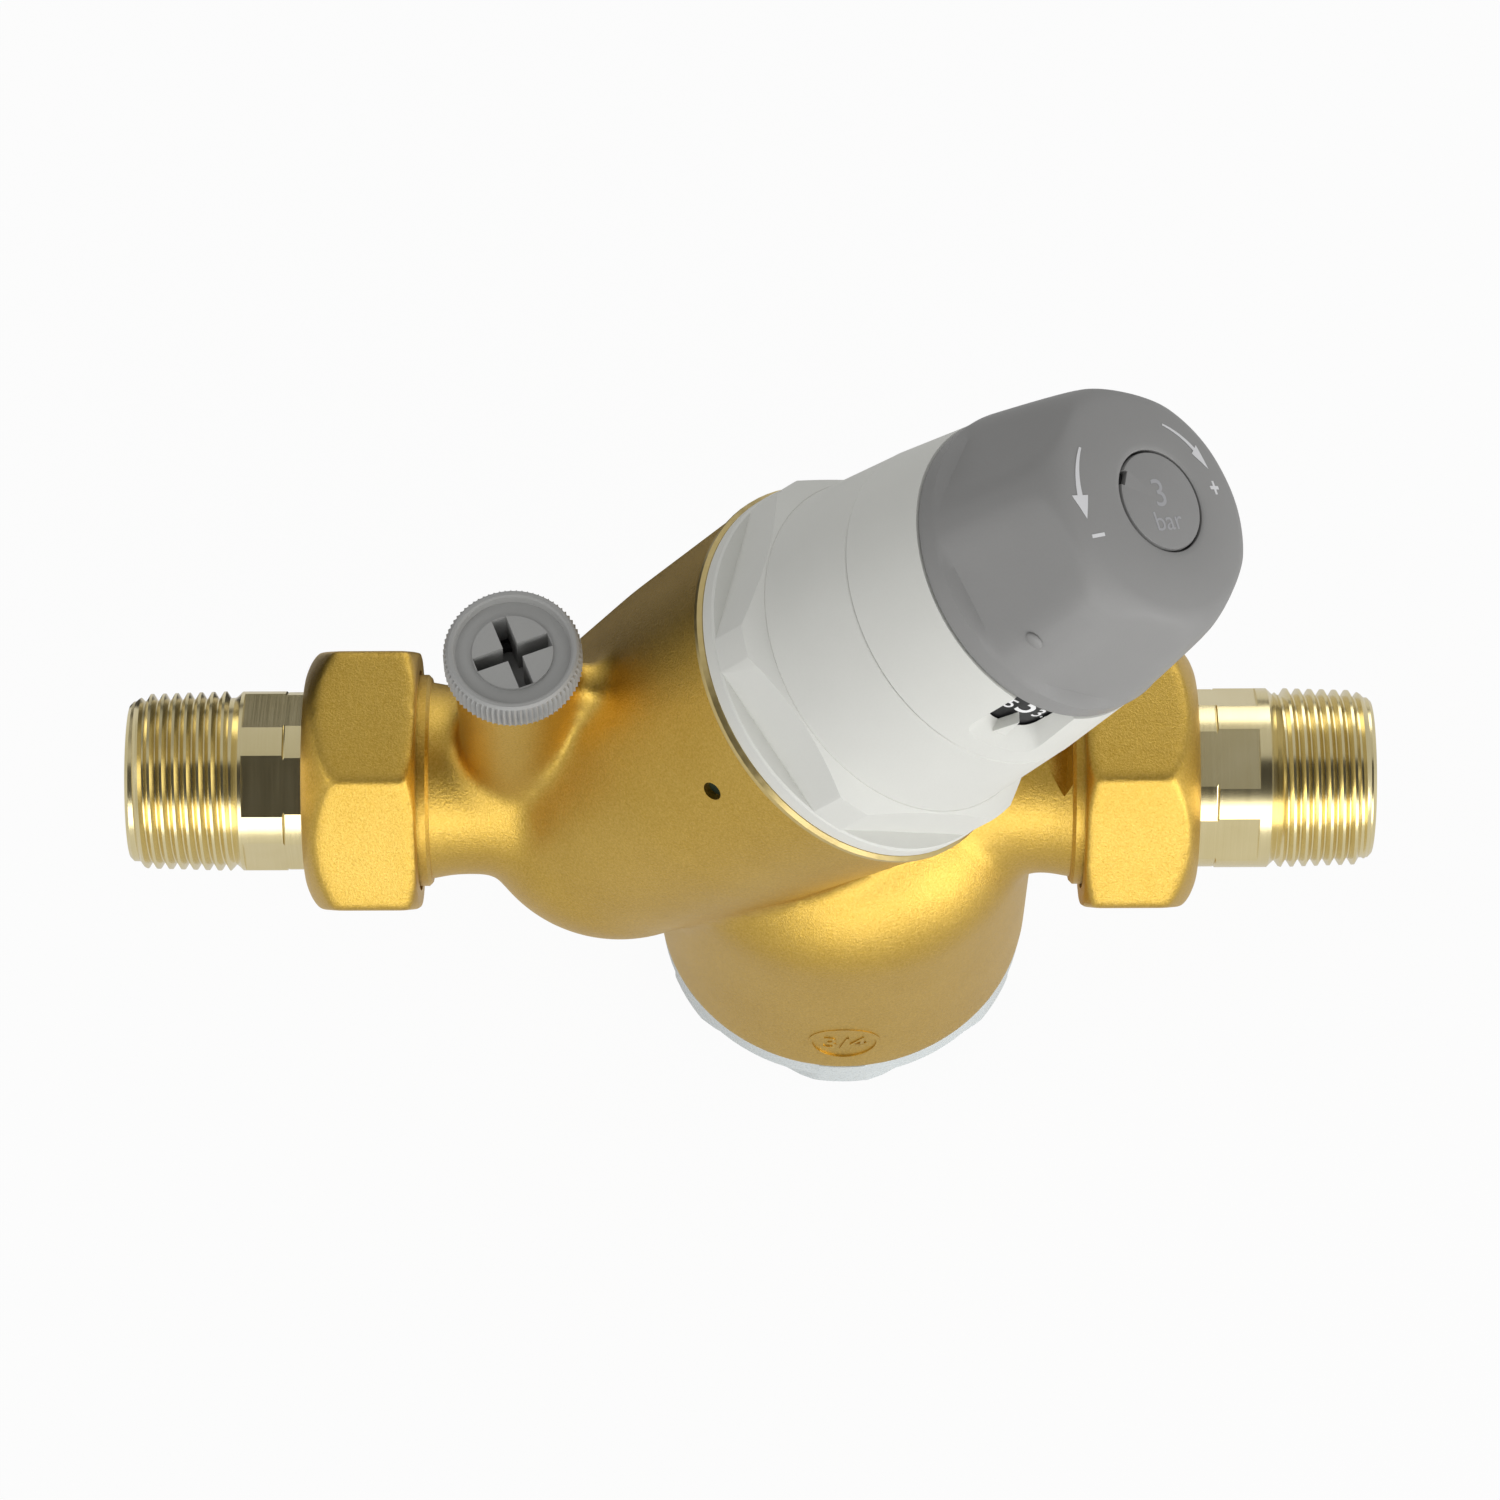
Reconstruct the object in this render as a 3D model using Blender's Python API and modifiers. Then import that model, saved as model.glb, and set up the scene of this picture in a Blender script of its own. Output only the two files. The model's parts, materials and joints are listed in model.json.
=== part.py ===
"""Inclined pressure reducing valve with union ends, a strainer bowl and a setting knob.

The pipe runs along X with its centre line through the origin. Water enters at +X, passes the
strainer that hangs along -Z and leaves at -X through the cartridge. The cartridge, the spring
bonnet and the knob share one setting axis, which leans from +Z towards +X.
Metres, +Z up.
"""

import math

import bmesh
import bpy
from mathutils import Matrix, Vector

MM = 0.001

# General clearances and mesh steps
GAP = 0.3 * MM
ROUND = 24
SMALL_ROUND = 16
BODY_ROUND = 32
CUT_OVERSHOOT = 4 * MM

# Pipe line and union ends
BORE_R = 9.6 * MM
NECK_R = 14.0 * MM
BODY_THREAD_R = 16.0 * MM
BODY_THREAD_LENGTH = 11.2 * MM
BODY_HALF_LENGTH = 58.0 * MM
NECK_FILLET = 2.0 * MM
GASKET_THICKNESS = 2.0 * MM
GASKET_R = 15.2 * MM
TAIL_COLLAR_LENGTH = 3.0 * MM
TAIL_COLLAR_R = 15.4 * MM
TAIL_R = 13.3 * MM
TAIL_FLAT_DISTANCE = 12.5 * MM
TAIL_BARREL_LENGTH = 11.8 * MM
TAIL_FLAT_SETBACK = 2.6 * MM
TAIL_FLAT_COUNT = 6
NUT_LENGTH = 17.0 * MM
NUT_ACROSS_FLATS = 38.2 * MM
NUT_CHAMFER = 1.8 * MM
NUT_LIP = 1.6 * MM
NUT_CONE_R = 14.7 * MM
NUT_CONE_LENGTH = 3.0 * MM
NUT_TURN = math.radians(4.3)
OUTLET_FLAT_TURN = math.radians(-29.2)
INLET_FLAT_TURN = math.radians(12.7)

# Male pipe thread on the tailpieces
THREAD_LENGTH = 16.6 * MM
THREAD_PITCH = 1.814 * MM
THREAD_DEPTH = 1.1 * MM
THREAD_END_CREST_R = 12.95 * MM
THREAD_TAPER = 1 / 32
THREAD_END_CHAMFER = 1.3 * MM

# Setting axis: where it crosses the pipe and how far it leans up from it
SETTING_X = -12.7 * MM
SETTING_ANGLE = math.radians(52)

# Cartridge branch of the body, measured along the setting axis
BODY_END_CENTRE = -8.0 * MM
BODY_END_R = 22.6 * MM
BODY_WAIST_AT = 21.0 * MM
BODY_WAIST_R = 26.6 * MM
BODY_MOUTH_R = 29.4 * MM
BODY_MOUTH_AT = 45.2 * MM
BODY_RIM_LENGTH = 1.6 * MM
CARTRIDGE_BORE_R = 16.0 * MM
CARTRIDGE_BORE_FROM = -8.3 * MM
INLET_CHAMBER_R = 14.0 * MM
INLET_CHAMBER_FROM = -16.0 * MM
GALLERY_R = 18.5 * MM
GALLERY_SPAN = (-1.5 * MM, 22.0 * MM)
BONNET_BORE_R = 21.0 * MM
BONNET_BORE_FROM = 28.0 * MM
VENT_R = 1.2 * MM
VENT_DEPTH = 3.5 * MM
VENT_AT = 35.5 * MM
VENT_ANGLE = math.radians(-132)

# Strainer branch of the body
STRAINER_X = 14.05 * MM
STRAINER_BRANCH_R = 28.0 * MM
STRAINER_DOME_Z = -8.0 * MM
STRAINER_MOUTH_Z = -43.2 * MM
STRAINER_BORE_R = 22.2 * MM
STRAINER_BORE_TOP = -19.0 * MM
STRAINER_PASSAGE_R = 3.5 * MM
STRAINER_PASSAGE_X = -9.0 * MM
STRAINER_PASSAGE_Z = (-26.0 * MM, -15.0 * MM)
STRAINER_DOME_HEIGHT = 22.0 * MM
INLET_DROP_X = 25.5 * MM
INLET_DROP_R = 7.6 * MM
INLET_DROP_TOP = 2.3 * MM

# Gauge boss and its plug
BOSS_X = -33.9 * MM
BOSS_R = 8.7 * MM
BOSS_TOP = 38.0 * MM
BOSS_PORT_R = 5.8 * MM
PLUG_HEAD_R = 9.75 * MM
PLUG_HEAD_HEIGHT = 5.1 * MM
PLUG_RIM = 1.3 * MM
PLUG_FACE_DEPTH = 0.8 * MM
PLUG_SHANK_LENGTH = 9.0 * MM
PLUG_SLOT_LENGTH = 11.4 * MM
PLUG_SLOT_WIDTH = 1.9 * MM
PLUG_SLOT_DEPTH = 3.2 * MM
WEB_THICKNESS = 5.0 * MM
WEB_TOP = 27.0 * MM

# Strainer bowl and screen
BOWL_ACROSS_FLATS = 46.0 * MM
BOWL_HEX_HEIGHT = 8.6 * MM
BOWL_CHAMFER = 2.0 * MM
BOWL_FLANGE_R = 28.2 * MM
BOWL_FLANGE_HEIGHT = 2.7 * MM
BOWL_FLANGE_DROP = 0.1 * MM
BOWL_SKIRT_LENGTH = 12.0 * MM
BOWL_GROOVE_WALL = 0.7 * MM
BOWL_CUP_WALL = 1.2 * MM
BOWL_CUP_DEPTH = 9.6 * MM
BOWL_WALL = 2.6 * MM
SCREEN_CLEARANCE = 1.8 * MM
SCREEN_WALL = 0.6 * MM
SCREEN_TOP = -21.6 * MM
SCREEN_RING_HEIGHT = 3.0 * MM
SCREEN_RING_WALL = 2.0 * MM

# Cartridge, along the setting axis
CAGE_BOTTOM = -8.0 * MM
CAGE_FLANGE = 2.6 * MM
CAGE_WALL = 2.6 * MM
CAGE_GUIDE_R = 6.4 * MM
CAGE_FLOOR = 5.0 * MM
PORT_R = 2.6 * MM
PORT_COUNT = 6
FLOOR_PORT_AT = 9.8 * MM
UPPER_PORT_AT = 17.0 * MM
SEAT_AT = 6.0 * MM
SEAT_HEIGHT = 4.0 * MM
SEAT_HOLE_R = 8.0 * MM
O_RING_R = 0.9 * MM
UPPER_O_RING_AT = 24.0 * MM
LOWER_O_RING_AT = -4.8 * MM

# Valve stem group
STEM_R = 3.0 * MM
STROKE = 2.0 * MM
PISTON_LENGTH = 6.0 * MM
OBTURATOR_R = 10.2 * MM
OBTURATOR_HEIGHT = 3.0 * MM
PAD_HEIGHT = 1.2 * MM
PAD_INNER_R = 6.2 * MM
DIAPHRAGM_THICKNESS = 1.2 * MM
DIAPHRAGM_DISC_R = 11.5 * MM
DIAPHRAGM_DISC_HEIGHT = 2.0 * MM
CLAMP_RING_HEIGHT = 3.0 * MM
CLAMP_RING_WALL = 3.4 * MM
FOLD_HALF_WIDTH = 1.2 * MM
SPRING_SEAT_R = 13.4 * MM
SPRING_SEAT_HEIGHT = 2.2 * MM
STEM_NUT_ACROSS_FLATS = 8.0 * MM
STEM_NUT_HEIGHT = 3.0 * MM

# Spring bonnet, along the setting axis
BONNET_SKIRT_R = BONNET_BORE_R - GAP
BONNET_FLANGE_R = 28.4 * MM
BONNET_FLANGE_HEIGHT = 2.5 * MM
BONNET_ACROSS_FLATS = 52.0 * MM
BONNET_HEX_TOP = 56.0 * MM
BONNET_HEX_CHAMFER = 2.0 * MM
BONNET_HEX_TURN = math.radians(44)
BONNET_COLLAR_R = 24.2 * MM
BONNET_SEAM_AT = 72.6 * MM
BONNET_SEAM_R = 23.06 * MM
BONNET_INNER_R = 17.0 * MM

# Indicator sleeve with its window
SLEEVE_TOP = 86.2 * MM
SLEEVE_TOP_R = 22.1 * MM
SLEEVE_WALL = 1.7 * MM
SLEEVE_PLATE = 3.0 * MM
SLEEVE_PLATE_AT = 75.4 * MM
WINDOW_ANGLES = (math.radians(-90), math.radians(90))
WINDOW_AT = 85.0 * MM
WINDOW_OUTER_R = 8.8 * MM
WINDOW_INNER_R = 6.0 * MM
POINTER_FROM = 77.4 * MM
POINTER_TO = 80.2 * MM
POINTER_HALF_WIDTH = 1.4 * MM
POINTER_THICKNESS = 0.7 * MM

# Setting spring, plate and screw
WIRE_R = 1.7 * MM
SPRING_MEAN_R = 11.0 * MM
SPRING_TURNS = 5.5
SPRING_POINTS_PER_TURN = 10
PLATE_AT = 61.5 * MM
PLATE_HEIGHT = 3.0 * MM
PLATE_R = 14.4 * MM
PLATE_HUB_R = 7.6 * MM
PLATE_HUB_HEIGHT = 4.0 * MM
SCREW_R = 4.6 * MM
SCREW_BOTTOM = 54.5 * MM
SCREW_FLANGE_R = 11.0 * MM
SCREW_FLANGE_HEIGHT = 2.0 * MM
WASHER_THICKNESS = 0.8 * MM
SCREW_TOP = 100.0 * MM

# Knob, scale drum and cap insert
KNOB_BASE_R = 22.1 * MM
KNOB_TOP = 110.8 * MM
KNOB_SHOULDER_AT = 106.0 * MM
KNOB_SHOULDER_R = 18.3 * MM
KNOB_FACE_R = 13.6 * MM
KNOB_WALL = 2.4 * MM
KNOB_HUB_R = 8.4 * MM
KNOB_HUB_BOTTOM = 88.0 * MM
FLUTE_COUNT = 6
FLUTE_TURN = math.radians(35)
FLUTE_FROM = 91.0 * MM
FLUTE_DISTANCE = 20.3 * MM
FLUTE_TILT = math.radians(14)
INSERT_R = 7.2 * MM
INSERT_HEIGHT = 1.8 * MM
KNOB_SCREW_HEAD_R = 3.6 * MM
KNOB_SCREW_HEAD_HEIGHT = 2.4 * MM
KNOB_SCREW_R = 1.6 * MM
KNOB_SCREW_LENGTH = 9.0 * MM
DRUM_BOTTOM = 79.2 * MM
DRUM_WALL = 1.6 * MM


def clear_scene():
    for obj in list(bpy.data.objects):
        bpy.data.objects.remove(obj)


def new_collection(name):
    made = bpy.data.collections.new(name)
    bpy.context.scene.collection.children.link(made)
    return made


def material(name, colour, roughness, metallic):
    made = bpy.data.materials.new(name)
    made.use_nodes = True
    shader = made.node_tree.nodes["Principled BSDF"]
    shader.inputs["Base Color"].default_value = (*colour, 1.0)
    shader.inputs["Roughness"].default_value = roughness
    shader.inputs["Metallic"].default_value = metallic
    return made


clear_scene()
PARTS = new_collection("pressure_reducing_valve")
CUTTERS = new_collection("cutters")
CAST_BRASS = material("cast_brass", (0.60, 0.40, 0.10), 0.45, 1.0)
TURNED_BRASS = material("turned_brass", (0.74, 0.62, 0.30), 0.25, 1.0)
WHITE_PLASTIC = material("white_plastic", (0.70, 0.71, 0.69), 0.55, 0.0)
GREY_PLASTIC = material("grey_plastic", (0.26, 0.27, 0.29), 0.55, 0.0)
BLACK_PLASTIC = material("black_plastic", (0.02, 0.02, 0.02), 0.45, 0.0)
CLEAR_PLASTIC = material("frosted_plastic", (0.78, 0.81, 0.80), 0.30, 0.0)
RUBBER = material("rubber", (0.02, 0.02, 0.02), 0.80, 0.0)
STEEL = material("steel", (0.55, 0.56, 0.57), 0.30, 1.0)
FIBRE = material("fibre_gasket", (0.10, 0.22, 0.14), 0.85, 0.0)


def axis_empty(name, location, lean):
    empty = bpy.data.objects.new(name, None)
    PARTS.objects.link(empty)
    empty.location = location
    empty.rotation_euler = (0, lean, 0)
    return empty


SETTING_AXIS = axis_empty("setting_axis", (SETTING_X, 0, 0), math.pi / 2 - SETTING_ANGLE)
STRAINER_AXIS = axis_empty("strainer_axis", (STRAINER_X, 0, 0), 0)
BOSS_AXIS = axis_empty("boss_axis", (BOSS_X, 0, 0), 0)
OUTLET_AXIS = axis_empty("outlet_axis", (0, 0, 0), -math.pi / 2)
INLET_AXIS = axis_empty("inlet_axis", (0, 0, 0), math.pi / 2)


def place(obj, axis, finish):
    """Puts an object in the parts, or among the cutters where it has no finish."""
    (PARTS if finish else CUTTERS).objects.link(obj)
    obj.parent = axis
    if finish:
        obj.data.materials.append(finish)
    else:
        obj.hide_render = True
        obj.display_type = "WIRE"
    return obj


def turned(name, profile, axis, finish=None, steps=ROUND):
    """A turned solid: (radius, height) points down the outside, closed through the axis or the bore."""
    mesh = bpy.data.meshes.new(name)
    points = [(radius, 0, height) for radius, height in profile]
    edges = [(i, i + 1) for i in range(len(points) - 1)]
    if profile[0][0] > 0 or profile[-1][0] > 0:
        edges.append((len(points) - 1, 0))
    mesh.from_pydata(points, edges, [])
    obj = place(bpy.data.objects.new(name, mesh), axis, finish)
    screw = obj.modifiers.new("turn", "SCREW")
    screw.steps = screw.render_steps = steps
    screw.use_merge_vertices = True
    screw.merge_threshold = 0.00001
    return obj


def ring(name, outer, inner, bottom, top, axis, finish=None, steps=ROUND):
    profile = [(outer, top), (outer, bottom), (inner, bottom), (inner, top)]
    return turned(name, profile, axis, finish, steps)


def cylinder(name, radius, bottom, top, axis, finish=None, steps=ROUND):
    profile = [(0, top), (radius, top), (radius, bottom), (0, bottom)]
    return turned(name, profile, axis, finish, steps)


def o_ring(name, mean_radius, height, axis):
    steps = 6
    profile = []
    for i in range(steps):
        turn = math.pi / 2 - 2 * math.pi * i / steps
        profile.append((mean_radius + O_RING_R * math.cos(turn), height + O_RING_R * math.sin(turn)))
    return turned(name, profile, axis, RUBBER)


def prism(name, sides, across_flats, bottom, top, axis, finish=None, turn=0.0):
    made = bmesh.new()
    radius = across_flats / 2 / math.cos(math.pi / sides)
    bmesh.ops.create_cone(
        made, cap_ends=True, segments=sides, radius1=radius, radius2=radius, depth=top - bottom,
        matrix=Matrix.Translation((0, 0, (top + bottom) / 2)) @ Matrix.Rotation(turn, 4, "Z"),
    )
    mesh = bpy.data.meshes.new(name)
    made.to_mesh(mesh)
    made.free()
    return place(bpy.data.objects.new(name, mesh), axis, finish)


def box(name, size, matrix, axis, finish=None):
    made = bmesh.new()
    bmesh.ops.create_cube(made, size=1, matrix=matrix @ Matrix.Diagonal((*size, 1)))
    mesh = bpy.data.meshes.new(name)
    made.to_mesh(mesh)
    made.free()
    return place(bpy.data.objects.new(name, mesh), axis, finish)


def combine(target, operation, *others):
    for other in others:
        step = target.modifiers.new(other.name, "BOOLEAN")
        step.operation = operation
        step.object = other


def combine_all(target, operation, name, *others):
    """One Boolean against a whole collection, for solids that overlap each other."""
    group = bpy.data.collections.new(name)
    CUTTERS.children.link(group)
    for other in others:
        CUTTERS.objects.unlink(other)
        group.objects.link(other)
    step = target.modifiers.new(name, "BOOLEAN")
    step.operation = operation
    step.operand_type = "COLLECTION"
    step.collection = group


def polar(radius, angle, height):
    return Vector((radius * math.cos(angle), radius * math.sin(angle), height))


def radial_holes(name, count, radius, reach, height, axis):
    """Cutters for holes that run out from an axis, one object each."""
    made = []
    for i in range(count):
        turn = Matrix.Rotation(2 * math.pi * i / count, 4, "Z")
        lay = Matrix.Rotation(math.pi / 2, 4, "Y")
        cutter = bmesh.new()
        bmesh.ops.create_cone(
            cutter, cap_ends=True, segments=10, radius1=radius, radius2=radius, depth=reach,
            matrix=Matrix.Translation((0, 0, height)) @ turn @ lay @ Matrix.Translation((0, 0, reach)),
        )
        mesh = bpy.data.meshes.new(f"{name}_{i}")
        cutter.to_mesh(mesh)
        cutter.free()
        made.append(place(bpy.data.objects.new(f"{name}_{i}", mesh), axis, None))
    return made


def arc(centre_height, radius, start, end, count):
    """(radius, height) points on a circle about the axis, from one angle above the equator to another."""
    points = []
    for i in range(count + 1):
        angle = start + (end - start) * i / count
        points.append((radius * math.cos(angle), centre_height + radius * math.sin(angle)))
    return points


def make_body():
    """The casting: two branches, the pipe, the gauge boss and its web, then the water ways."""
    end_arc = arc(BODY_END_CENTRE, BODY_END_R, 0, -math.pi / 2, 6)
    body = turned(
        "valve_body",
        [(0, BODY_MOUTH_AT), (BODY_MOUTH_R, BODY_MOUTH_AT), (BODY_MOUTH_R, BODY_MOUTH_AT - BODY_RIM_LENGTH),
         (BODY_WAIST_R, BODY_WAIST_AT), *end_arc[:-1], (0, BODY_END_CENTRE - BODY_END_R)],
        SETTING_AXIS, CAST_BRASS, BODY_ROUND,
    )
    flatten = STRAINER_DOME_HEIGHT / STRAINER_BRANCH_R
    dome = [(r, STRAINER_DOME_Z + z * flatten) for r, z in arc(0, STRAINER_BRANCH_R, math.pi / 2, 0, 6)]
    strainer = turned(
        "body_strainer_branch",
        [(0, dome[0][1]), *dome[1:], (STRAINER_BRANCH_R, STRAINER_MOUTH_Z), (0, STRAINER_MOUTH_Z)],
        STRAINER_AXIS, steps=BODY_ROUND,
    )
    thread_from = BODY_HALF_LENGTH - BODY_THREAD_LENGTH
    neck_to = thread_from - NECK_FILLET
    half = [(0, BODY_HALF_LENGTH), (BODY_THREAD_R, BODY_HALF_LENGTH), (BODY_THREAD_R, thread_from), (NECK_R, neck_to)]
    other_half = [(radius, -height) for radius, height in reversed(half)]
    pipe = turned("body_pipe", half + other_half, INLET_AXIS)
    boss = cylinder("body_boss", BOSS_R, NECK_R / 3, BOSS_TOP, BOSS_AXIS, steps=SMALL_ROUND)
    web_from = BOSS_X
    web_to = SETTING_X
    web = box(
        "body_web", (web_to - web_from, WEB_THICKNESS, WEB_TOP - NECK_R / 4),
        Matrix.Translation(((web_from + web_to) / 2, 0, (WEB_TOP + NECK_R / 4) / 2)), None,
    )
    combine(body, "UNION", strainer, pipe, boss, web)
    beyond = BODY_MOUTH_AT + CUT_OVERSHOOT
    cartridge_bore = turned(
        "cartridge_bore",
        [(0, beyond), (BONNET_BORE_R, beyond), (BONNET_BORE_R, BONNET_BORE_FROM),
         (CARTRIDGE_BORE_R, BONNET_BORE_FROM), (CARTRIDGE_BORE_R, GALLERY_SPAN[1]),
         (GALLERY_R, GALLERY_SPAN[1]), (GALLERY_R, GALLERY_SPAN[0]), (CARTRIDGE_BORE_R, GALLERY_SPAN[0]),
         (CARTRIDGE_BORE_R, CARTRIDGE_BORE_FROM), (INLET_CHAMBER_R, CARTRIDGE_BORE_FROM),
         (INLET_CHAMBER_R, INLET_CHAMBER_FROM), (0, INLET_CHAMBER_FROM)],
        SETTING_AXIS,
    )
    strainer_bore = cylinder(
        "strainer_bore", STRAINER_BORE_R, STRAINER_MOUTH_Z - CUT_OVERSHOOT, STRAINER_BORE_TOP, STRAINER_AXIS)
    passage_axis = axis_empty("passage_axis", (STRAINER_PASSAGE_X, 0, 0), 0)
    passage = cylinder(
        "strainer_passage", STRAINER_PASSAGE_R, *STRAINER_PASSAGE_Z, passage_axis, steps=SMALL_ROUND)
    way_out = cylinder(
        "outlet_bore", BORE_R, -SETTING_X + GAP, BODY_HALF_LENGTH + CUT_OVERSHOOT, OUTLET_AXIS, steps=SMALL_ROUND)
    way_in = cylinder(
        "inlet_bore", BORE_R, INLET_DROP_X, BODY_HALF_LENGTH + CUT_OVERSHOOT, INLET_AXIS, steps=SMALL_ROUND)
    drop_axis = axis_empty("inlet_drop_axis", (INLET_DROP_X, 0, 0), 0)
    way_down = cylinder(
        "inlet_drop", INLET_DROP_R, STRAINER_BORE_TOP - CUT_OVERSHOOT, INLET_DROP_TOP, drop_axis,
        steps=SMALL_ROUND)
    port = cylinder(
        "gauge_port", BOSS_PORT_R, BORE_R / 3, BOSS_TOP + CUT_OVERSHOOT, BOSS_AXIS, steps=SMALL_ROUND)
    combine_all(body, "DIFFERENCE", "water_ways", cartridge_bore, strainer_bore, passage, way_out, way_in, way_down,
                port, make_vent_cutter())
    return body


def make_vent_cutter():
    """A blind drilled mark in the casting below the bonnet."""
    surface_r = BODY_MOUTH_R - (BODY_MOUTH_AT - VENT_AT) * (BODY_MOUTH_R - BODY_WAIST_R) / (
        BODY_MOUTH_AT - BODY_RIM_LENGTH - BODY_WAIST_AT)
    cutter = bmesh.new()
    turn = Matrix.Rotation(VENT_ANGLE, 4, "Z") @ Matrix.Rotation(math.pi / 2, 4, "Y")
    bmesh.ops.create_cone(
        cutter, cap_ends=True, segments=12, radius1=VENT_R, radius2=VENT_R, depth=2 * VENT_DEPTH,
        matrix=Matrix.Translation((0, 0, VENT_AT)) @ turn @ Matrix.Translation((0, 0, surface_r)),
    )
    mesh = bpy.data.meshes.new("vent_drill")
    cutter.to_mesh(mesh)
    cutter.free()
    return place(bpy.data.objects.new("vent_drill", mesh), SETTING_AXIS, None)


def thread_profile(end_height):
    """Ridges of the tapered male thread, from the open end back to the plain tail."""
    count = int(THREAD_LENGTH / THREAD_PITCH)
    points = [(THREAD_END_CREST_R - THREAD_END_CHAMFER, end_height)]
    for i in range(count):
        crest_at = end_height - THREAD_END_CHAMFER - i * THREAD_PITCH
        crest_r = THREAD_END_CREST_R + (end_height - crest_at) * THREAD_TAPER
        points.append((crest_r, crest_at))
        points.append((crest_r - THREAD_DEPTH, crest_at - THREAD_PITCH / 2))
    return points


def make_union(side, axis, flat_turn, nut_turn):
    """A tailpiece, its gasket and its union nut on one end of the pipe."""
    gasket_from = BODY_HALF_LENGTH + GAP
    gasket_to = gasket_from + GASKET_THICKNESS
    ring(f"{side}_union_gasket", GASKET_R, BORE_R + GAP, gasket_from, gasket_to, axis, FIBRE, SMALL_ROUND)
    collar_from = gasket_to + GAP
    collar_to = collar_from + TAIL_COLLAR_LENGTH
    thread_root = collar_to + TAIL_BARREL_LENGTH
    tail_end = thread_root + THREAD_LENGTH
    tail = turned(
        f"{side}_tailpiece",
        [*thread_profile(tail_end), (TAIL_R, thread_root), (TAIL_R, collar_to),
         (TAIL_COLLAR_R, collar_to), (TAIL_COLLAR_R, collar_from), (BORE_R, collar_from),
         (BORE_R, tail_end)],
        axis, TURNED_BRASS,
    )
    flat_to = thread_root - GAP
    flat_length = flat_to - collar_to - TAIL_FLAT_SETBACK
    flat_size = 2 * (TAIL_R - TAIL_FLAT_DISTANCE)
    for i in range(TAIL_FLAT_COUNT):
        turn = Matrix.Rotation(flat_turn + 2 * math.pi * i / TAIL_FLAT_COUNT, 4, "Z")
        middle = (TAIL_FLAT_DISTANCE + flat_size / 2, 0, flat_to - flat_length / 2)
        flat = box(
            f"{side}_tail_flat_{i}", (flat_size, 2 * TAIL_R, flat_length),
            turn @ Matrix.Translation(middle), axis)
        combine(tail, "DIFFERENCE", flat)
    lip_from = collar_to + GAP
    nut_to = lip_from + NUT_LIP
    nut_from = nut_to - NUT_LENGTH
    nut = prism(f"{side}_union_nut", 6, NUT_ACROSS_FLATS, nut_from, nut_to, axis, CAST_BRASS, nut_turn)
    corner_r = NUT_ACROSS_FLATS / math.sqrt(3)
    chamfer = turned(
        f"{side}_nut_chamfer",
        [(0, nut_to), (NUT_CONE_R, nut_to), (NUT_ACROSS_FLATS / 2, nut_to - NUT_CONE_LENGTH),
         (corner_r, nut_to - 1.7 * NUT_CONE_LENGTH), (corner_r, nut_from + NUT_CHAMFER / 2),
         (corner_r - NUT_CHAMFER, nut_from), (0, nut_from)],
        axis,
    )
    combine(nut, "INTERSECT", chamfer)
    bore = turned(
        f"{side}_nut_bore",
        [(0, nut_to + CUT_OVERSHOOT), (TAIL_R + GAP, nut_to + CUT_OVERSHOOT), (TAIL_R + GAP, lip_from),
         (BODY_THREAD_R + GAP, lip_from), (BODY_THREAD_R + GAP, nut_from - CUT_OVERSHOOT),
         (0, nut_from - CUT_OVERSHOOT)],
        axis,
    )
    combine(nut, "DIFFERENCE", bore)


def make_gauge_plug():
    """The knurled plug with a cross slot that closes the gauge port, and its seal."""
    head_from = BOSS_TOP + GAP
    head_to = head_from + PLUG_HEAD_HEIGHT
    shank_r = BOSS_PORT_R - GAP
    groove_at = BOSS_TOP - 3 * O_RING_R
    groove_r = shank_r - 2 * O_RING_R
    plug = turned(
        "gauge_plug",
        [(0, head_to - PLUG_FACE_DEPTH), (PLUG_HEAD_R - 2 * PLUG_RIM, head_to - PLUG_FACE_DEPTH),
         (PLUG_HEAD_R - PLUG_RIM, head_to), (PLUG_HEAD_R - PLUG_RIM / 2, head_to),
         (PLUG_HEAD_R, head_to - PLUG_RIM / 2), (PLUG_HEAD_R, head_from), (shank_r, head_from),
         (shank_r, groove_at + 1.4 * O_RING_R), (groove_r, groove_at + 1.4 * O_RING_R),
         (groove_r, groove_at - 1.4 * O_RING_R), (shank_r, groove_at - 1.4 * O_RING_R),
         (shank_r, BOSS_TOP - PLUG_SHANK_LENGTH), (0, BOSS_TOP - PLUG_SHANK_LENGTH)],
        BOSS_AXIS, GREY_PLASTIC,
    )
    for i in range(2):
        turn = Matrix.Rotation(math.radians(20) + i * math.pi / 2, 4, "Z")
        slot = box(
            f"plug_slot_{i}", (PLUG_SLOT_LENGTH, PLUG_SLOT_WIDTH, 2 * PLUG_SLOT_DEPTH),
            Matrix.Translation((0, 0, head_to - PLUG_FACE_DEPTH)) @ turn, BOSS_AXIS)
        combine(plug, "DIFFERENCE", slot)
    o_ring("gauge_plug_o_ring", groove_r + GAP / 2 + O_RING_R, groove_at, BOSS_AXIS)


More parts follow.
